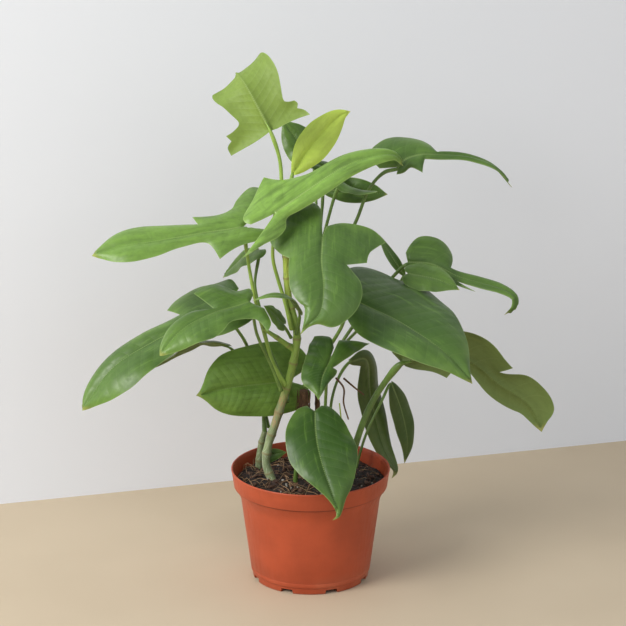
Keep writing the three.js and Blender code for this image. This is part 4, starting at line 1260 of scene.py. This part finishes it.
class PHILODENDRON_OT_soil(Operator):
    """Build the potting soil with bark chips, perlite grains and loose fibres"""

    bl_idname = "philodendron.soil"
    bl_label = "Build Soil"

    def execute(self, context):
        paints = colours()
        peat = crumb_finish("peat", tuple(paints.soil), hex_colour("4a352a"))
        bark = crumb_finish("bark_chip", tuple(paints.chip), hex_colour("8d6a4e"), 0.8, 700.0)
        white = crumb_finish("perlite", tuple(paints.perlite), hex_colour("f2efe8"), 0.8, 900.0)
        straw = bark_finish("dry_fibre", tuple(paints.fibre))
        self.surface(peat)
        chance = random.Random(7)
        settings = sizes()
        chips = Cloth()
        for _ in range(settings.bark_chips):
            x, y = soil_spot(chance)
            long = chance.uniform(1.2, 4.6) * MM
            size = (long, long * chance.uniform(0.35, 0.8), long * chance.uniform(0.16, 0.4))
            turn = Quaternion((0, 0, 1), chance.uniform(0, math.tau))
            turn @= Quaternion((1, 0, 0), chance.gauss(0, 0.5))
            turn @= Quaternion((0, 1, 0), chance.gauss(0, 0.35))
            add_lump(chips, Vector((x, y, soil_height(x, y) + size[2] * 0.5)), size, turn, chance)
        chips.piece("soil_bark_chips", [bark], "bark")
        grains = Cloth()
        for _ in range(settings.perlite_grains):
            x, y = soil_spot(chance)
            size = [chance.uniform(0.5, 1.3) * MM for _ in range(3)]
            spot = Vector((x, y, soil_height(x, y) + size[2] * 0.7))
            add_lump(grains, spot, size, Quaternion(), chance, 0.35)
        grains.piece("soil_perlite", [white], "soil")
        fibres = Cloth()
        for index in range(settings.soil_fibres):
            x, y = soil_spot(chance)
            if x > 0 and chance.random() < 0.6:
                x = -x
            self.add_fibre(fibres, x, y, index, chance)
        fibres.piece("soil_fibres", [straw], "root")
        return {"FINISHED"}

    def surface(self, finish):
        """The crumbly disc of peat that fills the pot."""
        rings, steps = 70, 200
        radius = SOIL_BOX[1][0] - 0.3 * MM
        low = SOIL_BOX[1][2] - SOIL_DEPTH
        places = [Vector((0, 0, soil_height(0, 0)))]
        for ring in range(1, rings + 1):
            reach = radius * ring / rings
            for step in range(steps):
                turn = math.tau * step / steps
                x, y = reach * math.cos(turn), reach * math.sin(turn)
                crumbs = noise.fractal(Vector((x, y, 0)) * 260, 0.9, 2.1, 4) * 1.1 * MM
                clods = noise.noise(Vector((x, y, 3)) * 70) * 1.6 * MM
                edge = smooth(0.97, 1.0, ring / rings) * 1.5 * MM
                places.append(Vector((x, y, soil_height(x, y) + crumbs + clods - edge)))
        last = len(places)
        for step in range(steps):
            turn = math.tau * step / steps
            reach = radius - SOIL_TAPER
            places.append(Vector((reach * math.cos(turn), reach * math.sin(turn), low)))
        places.append(Vector((0, 0, low)))
        faces = []
        for step in range(steps):
            after = (step + 1) % steps
            faces.append((0, 1 + step, 1 + after))
            for ring in range(rings):
                here, there = 1 + ring * steps, 1 + (ring + 1) * steps
                if ring == rings - 1:
                    there = last
                faces.append((here + step, there + step, there + after, here + after))
            faces.append((last + after, last + step, len(places) - 1))
        cloth = Cloth()
        cloth.add(places, faces)
        piece = cloth.piece("potting_soil", [finish], "soil")
        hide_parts("soil")

    def add_fibre(self, cloth, x, y, index, chance):
        """A thin dry fibre that lies on the soil and lifts a little."""
        turn = chance.uniform(0, math.tau)
        long = chance.uniform(9, 34) * MM
        points = []
        lift = chance.uniform(0.5, 6) * MM * chance.random()
        for step in range(4):
            turn += chance.gauss(0, 0.2)
            limit = SOIL_BOX[1][0] - 2 * MM
            away = math.hypot(x, y)
            if away > limit:
                x, y = x * limit / away, y * limit / away
            rise = (1.1 + 0.5 * math.sin(step * 1.4)) * MM + lift * math.sin(step * 1.05)
            points.append(Vector((x, y, soil_height(x, y) + rise)))
            x += long / 3 * math.cos(turn)
            y += long / 3 * math.sin(turn)
        thick = chance.uniform(0.18, 0.48) * MM
        add_tube(cloth, points, lambda share: thick * (1 - 0.6 * share), 5, 2.5 * MM, index)


class PHILODENDRON_OT_stems(Operator):
    """Build the stems, with a ring at each old leaf scar, and the aerial roots"""

    bl_idname = "philodendron.stems"
    bl_label = "Build Stems"

    def execute(self, context):
        green = stem_finish()
        bark = bark_finish("old_bark", tuple(colours().bark))
        shoot = stalk_finish("shoot_green", hex_colour("b9cf5a"), hex_colour("93ad42"))
        kinds = {"stem": (green, "stem"), "bark": (bark, "bark")}
        for index, (name, stem) in enumerate(STEMS.items()):
            finish, slot = kinds[stem["finish"]]
            replaced = [] if name.endswith("_stub") else [name]
            self.build_stem(name, stem, index, finish, slot, replaced)
        for index, (name, root) in enumerate(ROOTS.items()):
            self.build_root(f"aerial_{name}", root, index, bark, "root", [name])
        for index, (name, root) in enumerate(SHOOTS.items()):
            self.build_root(name, root, index, shoot, "petiole", [])
        self.build_strands(bark)
        return {"FINISHED"}

    def build_stem(self, name, stem, index, finish, slot, replaced):
        points = [Vector(point) * MM for point in stem["route"]]
        route = Route(points)
        radius = stem["radius"] * MM
        scars = []
        for height in stem["rings"]:
            share = min(
                (step / 400 for step in range(401)),
                key=lambda part: abs(route.at(part).z - height * MM),
            )
            scars.append(share * route.length)

        def ring_at(share):
            near = min(abs(share * route.length - scar) for scar in scars)
            return math.exp(-(near / (1.1 * MM)) ** 2), math.exp(-(near / (4 * MM)) ** 2)

        def radius_at(share):
            ring, node = ring_at(share)
            ripple = noise.noise(Vector((share * 30, index * 5, 0))) * 0.05
            taper = 1.08 - 0.28 * smooth(0.2, 1, share)
            return radius * (taper * (0.95 + ripple) + 0.11 * node + 0.07 * ring)

        cloth = Cloth()
        add_tube(cloth, points, radius_at, 20, 0.9 * MM, index * 4.3)
        growth = []
        for along, _, _ in cloth.values["place"]:
            share = along / route.length
            growth.append((route.at(share).z, ring_at(share)[0], share))
        cloth.values["growth"] = growth
        # The CAD's main stem also holds its cut stub, so this piece isn't compared with its box.
        cloth.piece(f"{name}_body", [finish], slot, replaced if name != "main_stem" else ())
        if name == "main_stem":
            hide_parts("main_stem")

    def build_root(self, name, root, index, finish, slot, replaced):
        points = [Vector(point) * MM for point in root["route"]]
        radius = root["radius"] * MM
        cloth = Cloth()

        def radius_at(share):
            return radius * (1.1 - 0.35 * share + 0.12 * noise.noise(Vector((share * 9, index, 1))))

        add_tube(cloth, points, radius_at, 10, 1.2 * MM, index * 2.9)
        cloth.piece(name, [finish], slot, replaced)

    def build_strands(self, finish):
        """The loose fibres that wrap the old stem."""
        chance = random.Random(11)
        route = Route([Vector(point) * MM for point in STEMS["old_stem"]["route"]])
        radius = STEMS["old_stem"]["radius"] * MM
        cloth = Cloth()
        for index in range(sizes().stem_strands):
            share = chance.uniform(0.0, 0.9)
            turn = chance.uniform(0, math.tau)
            points = []
            away = chance.uniform(0.9, 1.08)
            flare = chance.uniform(0.0, 0.16) * chance.random()
            long = chance.uniform(0.08, 0.3)
            for step in range(4):
                part = min(share + long * step / 3, 1.0)
                turn += chance.gauss(0, 0.16)
                reach = radius * (away + flare * step)
                side = Vector((math.cos(turn), math.sin(turn), 0)) * reach
                points.append(route.at(part) + side + Vector((0, 0, 0.2 * MM * step)))
            thick = chance.uniform(0.25, 0.6) * MM
            add_tube(cloth, points, lambda part: thick * (1 - 0.7 * part), 5, 2.5 * MM, index)
        cloth.piece("old_stem_strands", [finish], "root")


class PHILODENDRON_OT_leaves(Operator):
    """Build every leaf blade with its veins, and the stalk that carries it"""

    bl_idname = "philodendron.leaves"
    bl_label = "Build Leaves"

    def execute(self, context):
        blades, stalks = leaf_finishes()
        for index, (name, leaf) in enumerate(LEAVES.items()):
            build_leaf(name, leaf, index, blades[leaf["finish"]])
            build_stalk(name, leaf, index, stalks[STALK_KINDS.get(name, "green")])
        return {"FINISHED"}


class PHILODENDRON_OT_stage(Operator):
    """Set out the floor, the wall, the lights and the camera"""

    bl_idname = "philodendron.stage"
    bl_label = "Set Stage"

    def execute(self, context):
        scene = context.scene
        scene.view_settings.view_transform = "Standard"
        self.add_floor()
        self.add_wall()
        self.add_light("window", (-1.75, -1.35, 1.75), 1.3, 58, "fffdf9")
        self.add_light("fill", (1.3, -2.4, 1.7), 1.8, 7, "f6f8ff")
        world = bpy.data.worlds.new("room")
        scene.world = world
        world.use_nodes = True
        sky = world.node_tree.nodes["Background"].inputs
        sky["Color"].default_value = hex_colour("f6f8fb")
        sky["Strength"].default_value = 0.55
        lens = bpy.data.cameras.new("camera")
        lens.lens = 153.3
        camera = bpy.data.objects.new("camera", lens)
        camera.location = (0.0025, -2.6, 1.08)
        camera.rotation_euler = (math.radians(73), 0, 0)
        scene.collection.objects.link(camera)
        scene.camera = camera
        return {"FINISHED"}

    def add_plane(self, name, corners, material):
        mesh = bpy.data.meshes.new(name)
        mesh.from_pydata(corners, [], [(0, 1, 2, 3)])
        plane = bpy.data.objects.new(name, mesh)
        mesh.materials.append(material)
        bpy.context.scene.collection.objects.link(plane)

    def add_floor(self):
        finish = Finish("floor", 0.62)
        finish.shader.inputs["Specular IOR Level"].default_value = 0.25
        cloud = finish.noise(finish.place(), 3.0, 3.0)
        grain = finish.noise(finish.place(), 420.0, 4.0)
        colour = finish.mix(finish.range(cloud, 0.3, 0.7), hex_colour("c4b49b"), hex_colour("cbbba2"))
        material = finish.close(colour, None, finish.bump(grain, 0.1 * MM, 0.3))
        reach = 6
        corners = [(-reach, -reach, 0), (reach, -reach, 0), (reach, reach, 0), (-reach, reach, 0)]
        self.add_plane("floor", corners, material)

    def add_wall(self):
        """A wall that shows from its front only."""
        finish = Finish("wall", 0.9)
        grain = finish.noise(finish.place(), 300.0, 3.0)
        material = finish.close(hex_colour("edf2fa"), None, finish.bump(grain, 0.1 * MM, 0.2))
        tree = finish.tree
        clear = tree.nodes.new("ShaderNodeBsdfTransparent")
        either = tree.nodes.new("ShaderNodeMixShader")
        back = tree.nodes.new("ShaderNodeNewGeometry").outputs["Backfacing"]
        tree.links.new(back, either.inputs[0])
        tree.links.new(finish.shader.outputs[0], either.inputs[1])
        tree.links.new(clear.outputs[0], either.inputs[2])
        tree.links.new(either.outputs[0], tree.nodes["Material Output"].inputs[0])
        left, right = (-4.0, -0.86), (4.0, 1.46)
        corners = [(*left, 0), (*right, 0), (*right, 4), (*left, 4)]
        self.add_plane("wall", corners, material)

    def add_light(self, name, place, size, energy, tone):
        lamp = bpy.data.lights.new(name, "AREA")
        lamp.size = size
        lamp.energy = energy
        lamp.color = hex_colour(tone)[:3]
        light = bpy.data.objects.new(name, lamp)
        light.location = place
        aim = Vector((0, 0, 0.25)) - light.location
        light.rotation_euler = aim.to_track_quat("-Z", "Y").to_euler()
        bpy.context.scene.collection.objects.link(light)


class PHILODENDRON_PT_panel(Panel):
    bl_idname = "PHILODENDRON_PT_panel"
    bl_label = "Potted Philodendron"
    bl_space_type = "VIEW_3D"
    bl_region_type = "UI"
    bl_category = "Philodendron"

    def draw(self, context):
        column = self.layout.column()
        for group in (context.scene.philodendron_sizes, context.scene.philodendron_colours):
            for name in group.__annotations__:
                column.prop(group, name)
        for operator in OPERATORS:
            column.operator(operator.bl_idname)


OPERATORS = (
    PHILODENDRON_OT_stage,
    PHILODENDRON_OT_pot,
    PHILODENDRON_OT_soil,
    PHILODENDRON_OT_stems,
    PHILODENDRON_OT_leaves,
)
CLASSES = (PhilodendronSizes, PhilodendronColours, *OPERATORS, PHILODENDRON_PT_panel)


def register():
    for each in CLASSES:
        bpy.utils.register_class(each)
    bpy.types.Scene.philodendron_sizes = PointerProperty(type=PhilodendronSizes)
    bpy.types.Scene.philodendron_colours = PointerProperty(type=PhilodendronColours)


def unregister():
    del bpy.types.Scene.philodendron_colours
    del bpy.types.Scene.philodendron_sizes
    for each in reversed(CLASSES):
        bpy.utils.unregister_class(each)


def main():
    register()
    bpy.ops.philodendron.stage()
    bpy.ops.philodendron.pot()
    bpy.ops.philodendron.soil()
    bpy.ops.philodendron.stems()
    bpy.ops.philodendron.leaves()


if __name__ == "__main__":
    main()
